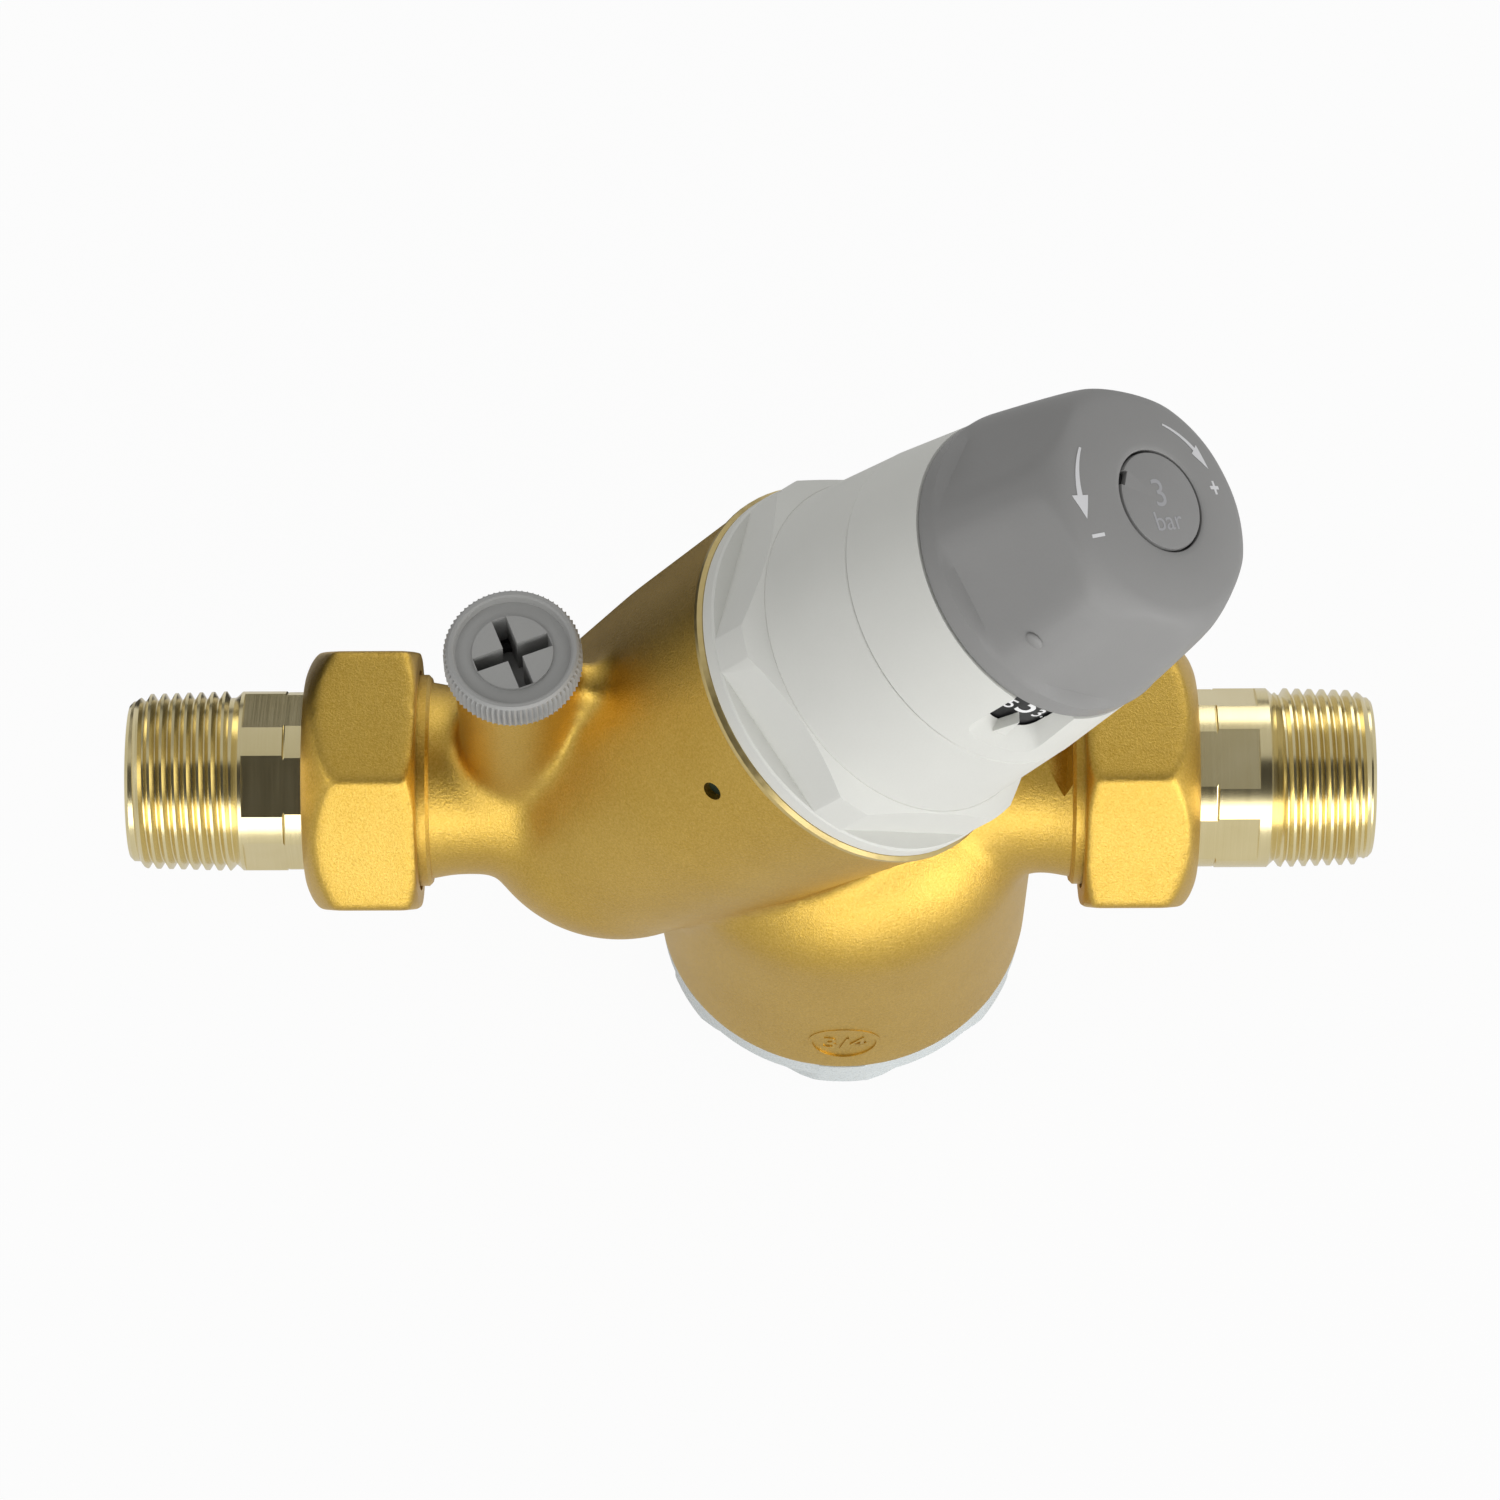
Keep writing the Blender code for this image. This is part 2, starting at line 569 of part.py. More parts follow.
def make_strainer():
    """The bowl that screws into the lower branch, its seal and the cylindrical screen."""
    hex_to = STRAINER_MOUTH_Z - GAP
    hex_from = hex_to - BOWL_HEX_HEIGHT
    skirt_r = STRAINER_BORE_R - GAP
    skirt_to = hex_to + BOWL_SKIRT_LENGTH
    cup_to = hex_to - BOWL_CUP_DEPTH
    bowl = prism(
        "strainer_cap", 6, BOWL_ACROSS_FLATS, hex_from, hex_to, STRAINER_AXIS, CLEAR_PLASTIC)
    corner_r = BOWL_ACROSS_FLATS / math.sqrt(3)
    chamfer = turned(
        "bowl_chamfer",
        [(0, hex_to), (corner_r, hex_to), (corner_r, hex_from + BOWL_CHAMFER),
         (corner_r - BOWL_CHAMFER, hex_from), (0, hex_from)],
        STRAINER_AXIS,
    )
    combine(bowl, "INTERSECT", chamfer)
    flange_to = hex_to - BOWL_FLANGE_DROP
    flange = cylinder(
        "bowl_flange", BOWL_FLANGE_R, flange_to - BOWL_FLANGE_HEIGHT, flange_to, STRAINER_AXIS, None, BODY_ROUND)
    combine(bowl, "UNION", flange)
    groove_at = hex_to + 2 * O_RING_R
    groove_r = skirt_r - 2 * O_RING_R
    inner_r = groove_r - BOWL_GROOVE_WALL
    cup_r = inner_r + BOWL_CUP_WALL
    screen_r = inner_r - SCREEN_CLEARANCE
    cup = turned(
        "bowl_cup",
        [(0, skirt_to), (skirt_r, skirt_to), (skirt_r, groove_at + 1.4 * O_RING_R),
         (groove_r, groove_at + 1.4 * O_RING_R), (groove_r, groove_at - 1.4 * O_RING_R),
         (skirt_r, groove_at - 1.4 * O_RING_R), (skirt_r, hex_to - GAP), (cup_r, hex_to - 2 * GAP),
         (cup_r, hex_from), (cup_r * 0.86, cup_to + BOWL_WALL / 2), (cup_r * 0.6, cup_to), (0, cup_to)],
        STRAINER_AXIS,
    )
    combine(bowl, "UNION", cup)
    hollow = turned(
        "bowl_hollow",
        [(0, skirt_to + CUT_OVERSHOOT), (inner_r, skirt_to + CUT_OVERSHOOT), (inner_r, hex_from),
         (inner_r * 0.7, cup_to + BOWL_WALL), (0, cup_to + BOWL_WALL)],
        STRAINER_AXIS,
    )
    combine(bowl, "DIFFERENCE", hollow)
    o_ring("strainer_cap_o_ring", groove_r + GAP / 2 + O_RING_R, groove_at, STRAINER_AXIS)
    screen_from = cup_to + BOWL_WALL + GAP
    ring_r = screen_r - SCREEN_WALL - GAP
    floor_r = inner_r * 0.7 - GAP
    turned(
        "strainer_base_ring",
        [(screen_r, screen_from + SCREEN_RING_HEIGHT + 5 * GAP), (floor_r, screen_from),
         (floor_r - SCREEN_RING_WALL, screen_from), (ring_r - SCREEN_RING_WALL, screen_from + SCREEN_RING_HEIGHT + 5 * GAP)],
        STRAINER_AXIS, GREY_PLASTIC, SMALL_ROUND)
    mesh_from = screen_from + SCREEN_RING_HEIGHT + 6 * GAP
    ring("strainer_screen", screen_r, screen_r - SCREEN_WALL, mesh_from, SCREEN_TOP, STRAINER_AXIS, STEEL)
    ring("strainer_top_ring", screen_r, ring_r - SCREEN_RING_WALL, SCREEN_TOP + GAP, STRAINER_BORE_TOP - GAP,
         STRAINER_AXIS, GREY_PLASTIC, SMALL_ROUND)


def make_cartridge():
    """The cage with its ports, the seat and the two seals against the body."""
    cage_r = CARTRIDGE_BORE_R - GAP
    cage_inner = cage_r - CAGE_WALL
    flange_from = BONNET_BORE_FROM + GAP
    flange_to = flange_from + CAGE_FLANGE
    groove_r = cage_r - 2 * O_RING_R
    half_groove = 1.4 * O_RING_R
    profile = [(BONNET_BORE_R - GAP, flange_to), (BONNET_BORE_R - GAP, flange_from), (cage_r, flange_from)]
    for height in (UPPER_O_RING_AT, LOWER_O_RING_AT):
        profile += [(cage_r, height + half_groove), (groove_r, height + half_groove),
                    (groove_r, height - half_groove), (cage_r, height - half_groove)]
    floor = CAGE_BOTTOM + CAGE_FLOOR
    profile += [(cage_r, CAGE_BOTTOM), (CAGE_GUIDE_R, CAGE_BOTTOM), (CAGE_GUIDE_R, floor), (cage_inner, floor),
                (cage_inner, SEAT_AT - GAP), (SEAT_HOLE_R + 2 * GAP + CAGE_WALL, SEAT_AT - GAP),
                (SEAT_HOLE_R + 2 * GAP + CAGE_WALL, SEAT_AT + SEAT_HEIGHT + GAP),
                (SEAT_HOLE_R, SEAT_AT + SEAT_HEIGHT + GAP), (SEAT_HOLE_R, SEAT_AT + SEAT_HEIGHT + CAGE_WALL),
                (cage_inner, SEAT_AT + SEAT_HEIGHT + CAGE_WALL), (cage_inner, flange_to)]
    cage = turned("cartridge_cage", profile, SETTING_AXIS, GREY_PLASTIC)
    holes = radial_holes("cage_port", PORT_COUNT, PORT_R, CARTRIDGE_BORE_R, UPPER_PORT_AT, SETTING_AXIS)
    combine(cage, "DIFFERENCE", *holes)
    for i in range(PORT_COUNT):
        hole = cylinder(f"cage_floor_port_{i}", PORT_R, CAGE_BOTTOM - CUT_OVERSHOOT, floor + GAP, SETTING_AXIS, steps=10)
        hole.location = polar(FLOOR_PORT_AT, 2 * math.pi * i / PORT_COUNT, 0)
        combine(cage, "DIFFERENCE", hole)
    ring("valve_seat", SEAT_HOLE_R + GAP + CAGE_WALL, SEAT_HOLE_R, SEAT_AT, SEAT_AT + SEAT_HEIGHT, SETTING_AXIS,
         STEEL, SMALL_ROUND)
    o_ring("cartridge_upper_o_ring", groove_r + GAP / 2 + O_RING_R, UPPER_O_RING_AT, SETTING_AXIS)
    o_ring("cartridge_lower_o_ring", groove_r + GAP / 2 + O_RING_R, LOWER_O_RING_AT, SETTING_AXIS)


def diaphragm_level():
    return BONNET_BORE_FROM + GAP + CAGE_FLANGE + GAP


def spring_floor():
    """Height of the top of the lower spring seat."""
    return diaphragm_level() + DIAPHRAGM_THICKNESS + GAP + SPRING_SEAT_HEIGHT


def make_stem_group():
    """What slides when the valve regulates: stem with piston, obturator, pad, discs and nut."""
    diaphragm_at = diaphragm_level()
    open_by = STROKE + GAP
    pad_to = SEAT_AT - open_by
    pad_from = pad_to - PAD_HEIGHT
    obturator_from = pad_from - OBTURATOR_HEIGHT
    piston_r = CAGE_GUIDE_R - GAP
    disc_from = diaphragm_at - GAP - DIAPHRAGM_DISC_HEIGHT
    seat_top = spring_floor()
    turned(
        "valve_stem",
        [(0, seat_top + STEM_NUT_HEIGHT + 3 * GAP), (STEM_R, seat_top + STEM_NUT_HEIGHT + 3 * GAP),
         (STEM_R, pad_to), (PAD_INNER_R - GAP, pad_to), (PAD_INNER_R - GAP, pad_from - GAP),
         (OBTURATOR_R, pad_from - GAP), (OBTURATOR_R, obturator_from), (piston_r, obturator_from),
         (piston_r, obturator_from - PISTON_LENGTH), (0, obturator_from - PISTON_LENGTH)],
        SETTING_AXIS, TURNED_BRASS, SMALL_ROUND,
    )
    ring("obturator_pad", OBTURATOR_R, PAD_INNER_R, pad_from, pad_to, SETTING_AXIS, RUBBER, SMALL_ROUND)
    ring("diaphragm_disc", DIAPHRAGM_DISC_R, STEM_R + GAP, disc_from, disc_from + DIAPHRAGM_DISC_HEIGHT,
         SETTING_AXIS, TURNED_BRASS, SMALL_ROUND)
    diaphragm_r = BONNET_BORE_R - GAP
    fold_r = (diaphragm_r - CLAMP_RING_WALL + SPRING_SEAT_R) / 2
    fold_from = fold_r - FOLD_HALF_WIDTH
    fold_to = fold_r + FOLD_HALF_WIDTH
    top = diaphragm_at + DIAPHRAGM_THICKNESS
    rise = DIAPHRAGM_THICKNESS * 0.8
    turned(
        "diaphragm",
        [(diaphragm_r, top), (diaphragm_r, diaphragm_at), (fold_to, diaphragm_at),
         (fold_r, diaphragm_at + rise), (fold_from, diaphragm_at), (STEM_R + GAP, diaphragm_at),
         (STEM_R + GAP, top), (fold_from, top), (fold_r, top + rise), (fold_to, top)],
        SETTING_AXIS, RUBBER,
    )
    ring("diaphragm_clamp_ring", diaphragm_r, diaphragm_r - CLAMP_RING_WALL, top + GAP,
         top + GAP + CLAMP_RING_HEIGHT, SETTING_AXIS, TURNED_BRASS)
    turned(
        "lower_spring_seat",
        [(SPRING_MEAN_R - WIRE_R - GAP, seat_top + WIRE_R), (SPRING_MEAN_R - WIRE_R - GAP, seat_top),
         (SPRING_SEAT_R, seat_top), (SPRING_SEAT_R, top + GAP), (STEM_R + GAP, top + GAP), (STEM_R + GAP, seat_top),
         (SPRING_MEAN_R - WIRE_R - 4 * GAP, seat_top), (SPRING_MEAN_R - WIRE_R - 4 * GAP, seat_top + WIRE_R)],
        SETTING_AXIS, TURNED_BRASS,
    )
    nut = prism("stem_nut", 6, STEM_NUT_ACROSS_FLATS, seat_top + GAP, seat_top + GAP + STEM_NUT_HEIGHT,
                SETTING_AXIS, STEEL)
    combine(nut, "DIFFERENCE", cylinder("stem_nut_bore", STEM_R + GAP, 0, seat_top + 4 * STEM_NUT_HEIGHT,
                                        SETTING_AXIS, steps=SMALL_ROUND))


def make_spring():
    """The setting spring as one wire, with its least gap from turn to turn measured."""
    low = spring_floor() + GAP + WIRE_R
    high = PLATE_AT - GAP - WIRE_R
    count = round(SPRING_TURNS * SPRING_POINTS_PER_TURN)
    points = []
    for i in range(count + 1):
        share = i / count
        turn = 2 * math.pi * SPRING_TURNS * share
        points.append(polar(SPRING_MEAN_R, turn, low + (high - low) * share))
    gap = min(
        (a - b).length - 2 * WIRE_R
        for i, a in enumerate(points) for b in points[i + SPRING_POINTS_PER_TURN // 2:]
    )
    print(f"setting spring: least gap between turns {gap / MM:.2f} mm")
    curve = bpy.data.curves.new("setting_spring", "CURVE")
    curve.dimensions = "3D"
    curve.bevel_depth = WIRE_R
    curve.bevel_resolution = 1
    curve.use_fill_caps = True
    spline = curve.splines.new("POLY")
    spline.points.add(count)
    for point, place_at in zip(spline.points, points):
        point.co = (*place_at, 1)
    place(bpy.data.objects.new("setting_spring", curve), SETTING_AXIS, STEEL)


def make_spring_plate():
    """The nut plate that the screw drives up and down on the spring."""
    hub_to = PLATE_AT + PLATE_HEIGHT + PLATE_HUB_HEIGHT
    turned(
        "spring_plate",
        [(PLATE_HUB_R, hub_to), (PLATE_HUB_R, PLATE_AT + PLATE_HEIGHT), (PLATE_R, PLATE_AT + PLATE_HEIGHT),
         (PLATE_R, PLATE_AT), (SPRING_MEAN_R - WIRE_R - GAP, PLATE_AT),
         (SPRING_MEAN_R - WIRE_R - GAP, PLATE_AT - WIRE_R), (SCREW_R + GAP, PLATE_AT - WIRE_R),
         (SCREW_R + GAP, hub_to)],
        SETTING_AXIS, TURNED_BRASS,
    )


def flange_bottom():
    """Height of the underside of the screw's thrust flange."""
    return SLEEVE_PLATE_AT - GAP - WASHER_THICKNESS - GAP - SCREW_FLANGE_HEIGHT


def make_screw():
    """The setting screw with its thrust flange, and the washer it turns against."""
    flange_from = flange_bottom()
    flange_to = flange_from + SCREW_FLANGE_HEIGHT
    shaft_r = SCREW_R
    tap_r = KNOB_SCREW_R + GAP
    tap_to = SCREW_TOP - KNOB_SCREW_LENGTH - GAP
    turned(
        "setting_screw",
        [(shaft_r, SCREW_TOP), (shaft_r, flange_to), (SCREW_FLANGE_R, flange_to), (SCREW_FLANGE_R, flange_from),
         (SCREW_R, flange_from), (SCREW_R, SCREW_BOTTOM), (0, SCREW_BOTTOM), (0, tap_to), (tap_r, tap_to),
         (tap_r, SCREW_TOP), (shaft_r, SCREW_TOP)][:-1],
        SETTING_AXIS, TURNED_BRASS, SMALL_ROUND,
    )
    ring("thrust_washer", SCREW_FLANGE_R, SCREW_R + GAP, flange_to + GAP, flange_to + GAP + WASHER_THICKNESS,
         SETTING_AXIS, STEEL, SMALL_ROUND)


def make_bonnet():
    """The hexagon bonnet that clamps the cartridge and houses the spring."""
    flange_from = BODY_MOUTH_AT + GAP
    ledge = flange_from + BONNET_FLANGE_HEIGHT
    skirt_from = diaphragm_level() + DIAPHRAGM_THICKNESS + 2 * GAP + CLAMP_RING_HEIGHT
    bonnet = prism(
        "spring_bonnet", 6, BONNET_ACROSS_FLATS, ledge - GAP, BONNET_HEX_TOP, SETTING_AXIS, WHITE_PLASTIC,
        BONNET_HEX_TURN)
    chamfer = turned(
        "bonnet_hex_chamfer",
        [(0, BONNET_HEX_TOP), (BONNET_COLLAR_R, BONNET_HEX_TOP),
         (BONNET_FLANGE_R - GAP, BONNET_HEX_TOP - BONNET_HEX_CHAMFER), (BONNET_FLANGE_R - GAP, flange_from),
         (0, flange_from)],
        SETTING_AXIS, steps=BODY_ROUND,
    )
    combine(bonnet, "INTERSECT", chamfer)
    flange = turned(
        "bonnet_flange",
        [(0, ledge), (BONNET_FLANGE_R, ledge), (BONNET_FLANGE_R, flange_from), (BONNET_SKIRT_R, flange_from),
         (BONNET_SKIRT_R, skirt_from), (0, skirt_from)],
        SETTING_AXIS, steps=BODY_ROUND,
    )
    collar_to = BONNET_SEAM_AT - GAP
    collar = turned(
        "bonnet_collar",
        [(0, collar_to), (BONNET_SEAM_R, collar_to), (BONNET_COLLAR_R - GAP, BONNET_HEX_TOP),
         (BONNET_COLLAR_R - GAP, ledge + GAP), (0, ledge + GAP)],
        SETTING_AXIS, steps=BODY_ROUND,
    )
    combine(bonnet, "UNION", flange, collar)
    hollow = cylinder("bonnet_hollow", BONNET_INNER_R, skirt_from - CUT_OVERSHOOT, BONNET_SEAM_AT + CUT_OVERSHOOT,
                      SETTING_AXIS)
    combine(bonnet, "DIFFERENCE", hollow)


def make_sleeve():
    """The sleeve above the seam, with the window that shows the set pressure and its pointer."""
    inner = SLEEVE_TOP_R - SLEEVE_WALL
    plate_to = SLEEVE_PLATE_AT + SLEEVE_PLATE
    sleeve = turned(
        "indicator_sleeve",
        [(SLEEVE_TOP_R, SLEEVE_TOP), (BONNET_SEAM_R, BONNET_SEAM_AT), (BONNET_INNER_R, BONNET_SEAM_AT),
         (BONNET_INNER_R, SLEEVE_PLATE_AT), (SCREW_R + GAP, SLEEVE_PLATE_AT), (SCREW_R + GAP, plate_to),
         (inner, plate_to), (inner, SLEEVE_TOP)],
        SETTING_AXIS, WHITE_PLASTIC, BODY_ROUND,
    )
    slope = (WINDOW_OUTER_R - WINDOW_INNER_R) / (BONNET_SEAM_R - inner)
    depth = 3 * SLEEVE_WALL
    for i, angle in enumerate(WINDOW_ANGLES):
        lay = Matrix.Rotation(angle, 4, "Z") @ Matrix.Rotation(math.pi / 2, 4, "Y")
        near = inner - SLEEVE_WALL / 2
        scoop = bmesh.new()
        bmesh.ops.create_cone(
            scoop, cap_ends=True, segments=24, radius1=WINDOW_INNER_R - slope * SLEEVE_WALL / 2,
            radius2=WINDOW_INNER_R + slope * (depth - SLEEVE_WALL / 2), depth=depth,
            matrix=Matrix.Translation((0, 0, WINDOW_AT)) @ lay @ Matrix.Translation((0, 0, near + depth / 2)),
        )
        mesh = bpy.data.meshes.new(f"window_scoop_{i}")
        scoop.to_mesh(mesh)
        scoop.free()
        combine(sleeve, "DIFFERENCE", place(bpy.data.objects.new(mesh.name, mesh), SETTING_AXIS, None))
        combine(sleeve, "UNION", make_pointer(f"window_pointer_{i}", angle, inner))


def make_pointer(name, angle, inner):
    """A small wedge that stands on the scoop and ends over the scale."""
    turn = Matrix.Rotation(angle, 4, "Z")
    outer = inner + POINTER_THICKNESS
    corners = []
    for radius in (inner + GAP / 3, outer):
        corners.append((radius + GAP, -POINTER_HALF_WIDTH, POINTER_FROM))
        corners.append((radius + GAP, POINTER_HALF_WIDTH, POINTER_FROM))
        corners.append((radius, 0, POINTER_TO))
    faces = [(0, 2, 1), (3, 4, 5), (0, 1, 4, 3), (1, 2, 5, 4), (2, 0, 3, 5)]
    mesh = bpy.data.meshes.new(name)
    mesh.from_pydata([turn @ Vector(corner) for corner in corners], [], faces)
    return place(bpy.data.objects.new(name, mesh), SETTING_AXIS, None)


def make_knob():
    """The fluted knob with its hub, the scale drum inside it, the fixing screw and the cap insert."""
    base_from = SLEEVE_TOP + GAP
    skirt_inner = SLEEVE_TOP_R - SLEEVE_WALL
    cavity_to = FLUTE_FROM - 3 * GAP
    seat = KNOB_TOP - INSERT_HEIGHT - GAP
    head_from = SCREW_TOP + GAP
    knob = turned(
        "setting_knob",
        [(0, KNOB_TOP), (KNOB_FACE_R, KNOB_TOP), (KNOB_SHOULDER_R - KNOB_WALL / 3, KNOB_SHOULDER_AT + KNOB_WALL),
         (KNOB_SHOULDER_R, KNOB_SHOULDER_AT), (KNOB_BASE_R, FLUTE_FROM), (KNOB_BASE_R, base_from),
         (skirt_inner, base_from), (skirt_inner, cavity_to), (skirt_inner - KNOB_WALL, cavity_to),
         (KNOB_FACE_R - KNOB_WALL, seat - KNOB_WALL), (KNOB_HUB_R, seat - KNOB_WALL), (KNOB_HUB_R, KNOB_HUB_BOTTOM),
         (0, KNOB_HUB_BOTTOM)],
        SETTING_AXIS, GREY_PLASTIC, BODY_ROUND,
    )
    flute_height = KNOB_TOP - FLUTE_FROM + CUT_OVERSHOOT
    flute_depth = 2 * (KNOB_BASE_R - FLUTE_DISTANCE)
    for i in range(FLUTE_COUNT):
        turn = Matrix.Rotation(FLUTE_TURN + 2 * math.pi * i / FLUTE_COUNT, 4, "Z")
        tilt = Matrix.Rotation(-FLUTE_TILT, 4, "Y")
        lower_edge = Matrix.Translation((FLUTE_DISTANCE, 0, FLUTE_FROM))
        body = Matrix.Translation((flute_depth, 0, flute_height / 2))
        flute = box(f"knob_flute_{i}", (2 * flute_depth, 2 * KNOB_BASE_R, flute_height),
                    turn @ lower_edge @ tilt @ body, SETTING_AXIS)
        combine(knob, "DIFFERENCE", flute)
    bore = turned(
        "knob_bore",
        [(0, KNOB_TOP + CUT_OVERSHOOT), (INSERT_R + GAP, KNOB_TOP + CUT_OVERSHOOT), (INSERT_R + GAP, seat),
         (KNOB_SCREW_HEAD_R + GAP, seat), (KNOB_SCREW_HEAD_R + GAP, head_from), (SCREW_R + GAP, head_from),
         (SCREW_R + GAP, KNOB_HUB_BOTTOM - CUT_OVERSHOOT), (0, KNOB_HUB_BOTTOM - CUT_OVERSHOOT)],
        SETTING_AXIS, steps=SMALL_ROUND,
    )
    combine(knob, "DIFFERENCE", bore)
    head_to = head_from + GAP + KNOB_SCREW_HEAD_HEIGHT
    turned(
        "knob_screw",
        [(0, head_to), (KNOB_SCREW_HEAD_R, head_to), (KNOB_SCREW_HEAD_R, head_from + GAP),
         (KNOB_SCREW_R, head_from + GAP), (KNOB_SCREW_R, SCREW_TOP - KNOB_SCREW_LENGTH),
         (0, SCREW_TOP - KNOB_SCREW_LENGTH)],
        SETTING_AXIS, STEEL, SMALL_ROUND,
    )
    cylinder("knob_cap_insert", INSERT_R, seat + GAP, KNOB_TOP, SETTING_AXIS, GREY_PLASTIC, SMALL_ROUND)
    drum_r = skirt_inner - GAP
    ring("scale_drum", drum_r, drum_r - DRUM_WALL, DRUM_BOTTOM, cavity_to - GAP, SETTING_AXIS, BLACK_PLASTIC)


make_body()
make_union("outlet", OUTLET_AXIS, OUTLET_FLAT_TURN, NUT_TURN)
make_union("inlet", INLET_AXIS, INLET_FLAT_TURN, -NUT_TURN)
make_gauge_plug()
make_strainer()
make_cartridge()
make_stem_group()
make_spring()
make_spring_plate()
make_screw()
make_bonnet()
make_sleeve()
make_knob()
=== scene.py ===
# %% [markdown]
# An inclined pressure reducing valve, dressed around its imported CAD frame.
# Every piece below is modelled in the frame's own coordinates, in metres, with the pipe along X and
# the knob's axis leaning from +Z towards +X. Each one rides on the CAD body that carries it.

import json
import math

import bmesh
import bpy
from mathutils import Matrix, Vector

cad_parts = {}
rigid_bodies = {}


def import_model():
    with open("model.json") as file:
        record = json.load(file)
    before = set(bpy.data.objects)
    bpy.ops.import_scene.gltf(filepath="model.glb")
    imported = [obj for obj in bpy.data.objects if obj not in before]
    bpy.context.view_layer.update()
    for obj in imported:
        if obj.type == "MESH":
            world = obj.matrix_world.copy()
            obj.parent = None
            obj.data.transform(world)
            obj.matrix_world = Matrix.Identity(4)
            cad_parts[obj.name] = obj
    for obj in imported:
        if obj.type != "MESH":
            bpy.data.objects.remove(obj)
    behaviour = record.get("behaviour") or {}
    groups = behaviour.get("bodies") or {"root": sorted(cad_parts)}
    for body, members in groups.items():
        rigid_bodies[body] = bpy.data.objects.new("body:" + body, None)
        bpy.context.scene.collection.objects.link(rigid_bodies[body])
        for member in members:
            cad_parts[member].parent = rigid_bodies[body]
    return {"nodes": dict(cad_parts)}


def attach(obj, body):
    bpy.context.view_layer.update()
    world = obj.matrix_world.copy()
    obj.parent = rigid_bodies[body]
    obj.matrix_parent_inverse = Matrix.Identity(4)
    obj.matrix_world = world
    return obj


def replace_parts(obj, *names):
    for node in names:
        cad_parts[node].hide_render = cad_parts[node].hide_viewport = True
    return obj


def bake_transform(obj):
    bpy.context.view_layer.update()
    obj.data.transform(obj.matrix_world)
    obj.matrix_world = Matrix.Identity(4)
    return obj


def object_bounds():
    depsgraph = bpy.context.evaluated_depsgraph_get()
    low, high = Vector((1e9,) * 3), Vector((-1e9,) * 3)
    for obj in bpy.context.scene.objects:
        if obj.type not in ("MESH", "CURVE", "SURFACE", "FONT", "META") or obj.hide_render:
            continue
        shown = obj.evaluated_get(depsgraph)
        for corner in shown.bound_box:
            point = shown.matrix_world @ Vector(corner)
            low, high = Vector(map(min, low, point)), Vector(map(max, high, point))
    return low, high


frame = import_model()
cad_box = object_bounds()
MM = 0.001

# %% [markdown]
# The valve has five working axes. A matrix for each one lets every piece be drawn upright along its own
# Z, as on a lathe, and then laid where it belongs. The knob's axis crosses the pipe's just left of the
# middle and rises 52 degrees from it.

# %% Working axes
SETTING_X = -12.7 * MM
SETTING_RISE = math.radians(52)
STRAINER_X = 14.05 * MM
BOSS_X = -33.9 * MM
SETTING = Matrix.Translation((SETTING_X, 0, 0)) @ Matrix.Rotation(math.pi / 2 - SETTING_RISE, 4, "Y")
STRAINER = Matrix.Translation((STRAINER_X, 0, 0))
BOSS = Matrix.Translation((BOSS_X, 0, 0))
INLET = Matrix.Rotation(math.pi / 2, 4, "Y")
OUTLET = Matrix.Rotation(-math.pi / 2, 4, "Y")
print("knob axis points along", [round(c, 3) for c in SETTING.to_3x3() @ Vector((0, 0, 1))])

# %% [markdown]
# The photograph looks down on the valve from well above its front. The camera stands 0.95 m from the
# pipe, 64 degrees up, with a long lens, and a hair of roll puts the pipe's ends where they are.

# %% Camera
VIEW_HEIGHT = math.radians(64.3)
VIEW_DISTANCE = 0.950
VIEW_RAISE = 4.354 * MM
VIEW_SIDE = -0.074 * MM
VIEW_ROLL = math.radians(-0.19)
towards = Vector((0, math.cos(VIEW_HEIGHT), -math.sin(VIEW_HEIGHT)))
upwards = Vector((0, math.sin(VIEW_HEIGHT), math.cos(VIEW_HEIGHT)))
camera = bpy.data.objects.new("camera", bpy.data.cameras.new("camera"))
bpy.context.scene.collection.objects.link(camera)
camera.data.sensor_width = 36
camera.data.lens = 153.4
camera.data.clip_start = 0.05
camera.location = upwards * VIEW_RAISE - towards * VIEW_DISTANCE + Vector((VIEW_SIDE, 0, 0))
camera.rotation_euler = (math.pi / 2 - VIEW_HEIGHT, 0, 0)
camera.rotation_euler.rotate_axis("Z", VIEW_ROLL)
bpy.context.scene.camera = camera
print("camera stands at", [round(c, 3) for c in camera.location])


# %% [markdown]
# Shader maths reads best as plain sums. A small class holds one socket, and adding or multiplying two of
# them adds the Math node that does so. Every other node comes from its one node method.

# %% Shader expressions
class Flow:
    """One output socket of a node tree, with arithmetic."""

    def __init__(self, tree, socket=None):
        self.tree = tree
        self.socket = socket

    def node(self, kind, settings=None, inputs=None, output=0):
        made = self.tree.nodes.new(kind)
        for name, value in (settings or {}).items():
            if name == "stops":
                for stop, (position, colour) in zip(made.color_ramp.elements, value):
                    stop.position = position
                    stop.color = colour
            else:
                setattr(made, name, value)
        for name, value in (inputs or {}).items():
            if isinstance(value, Flow):
                self.tree.links.new(value.socket, made.inputs[name])
            else:
                made.inputs[name].default_value = value
        return Flow(self.tree, made.outputs[output])

    def math(self, operation, first, second):
        return self.node("ShaderNodeMath", {"operation": operation}, {0: first, 1: second})

    def __add__(self, other):
        return self.math("ADD", self, other)

    __radd__ = __add__

    def __mul__(self, other):
        return self.math("MULTIPLY", self, other)

    def __sub__(self, other):
        return self.math("SUBTRACT", self, other)

    def mix(self, low, high):
        """From one colour to another as this value goes from 0 to 1."""
        return self.node("ShaderNodeMix", {"data_type": "RGBA"}, {0: self, 6: low, 7: high}, 2)


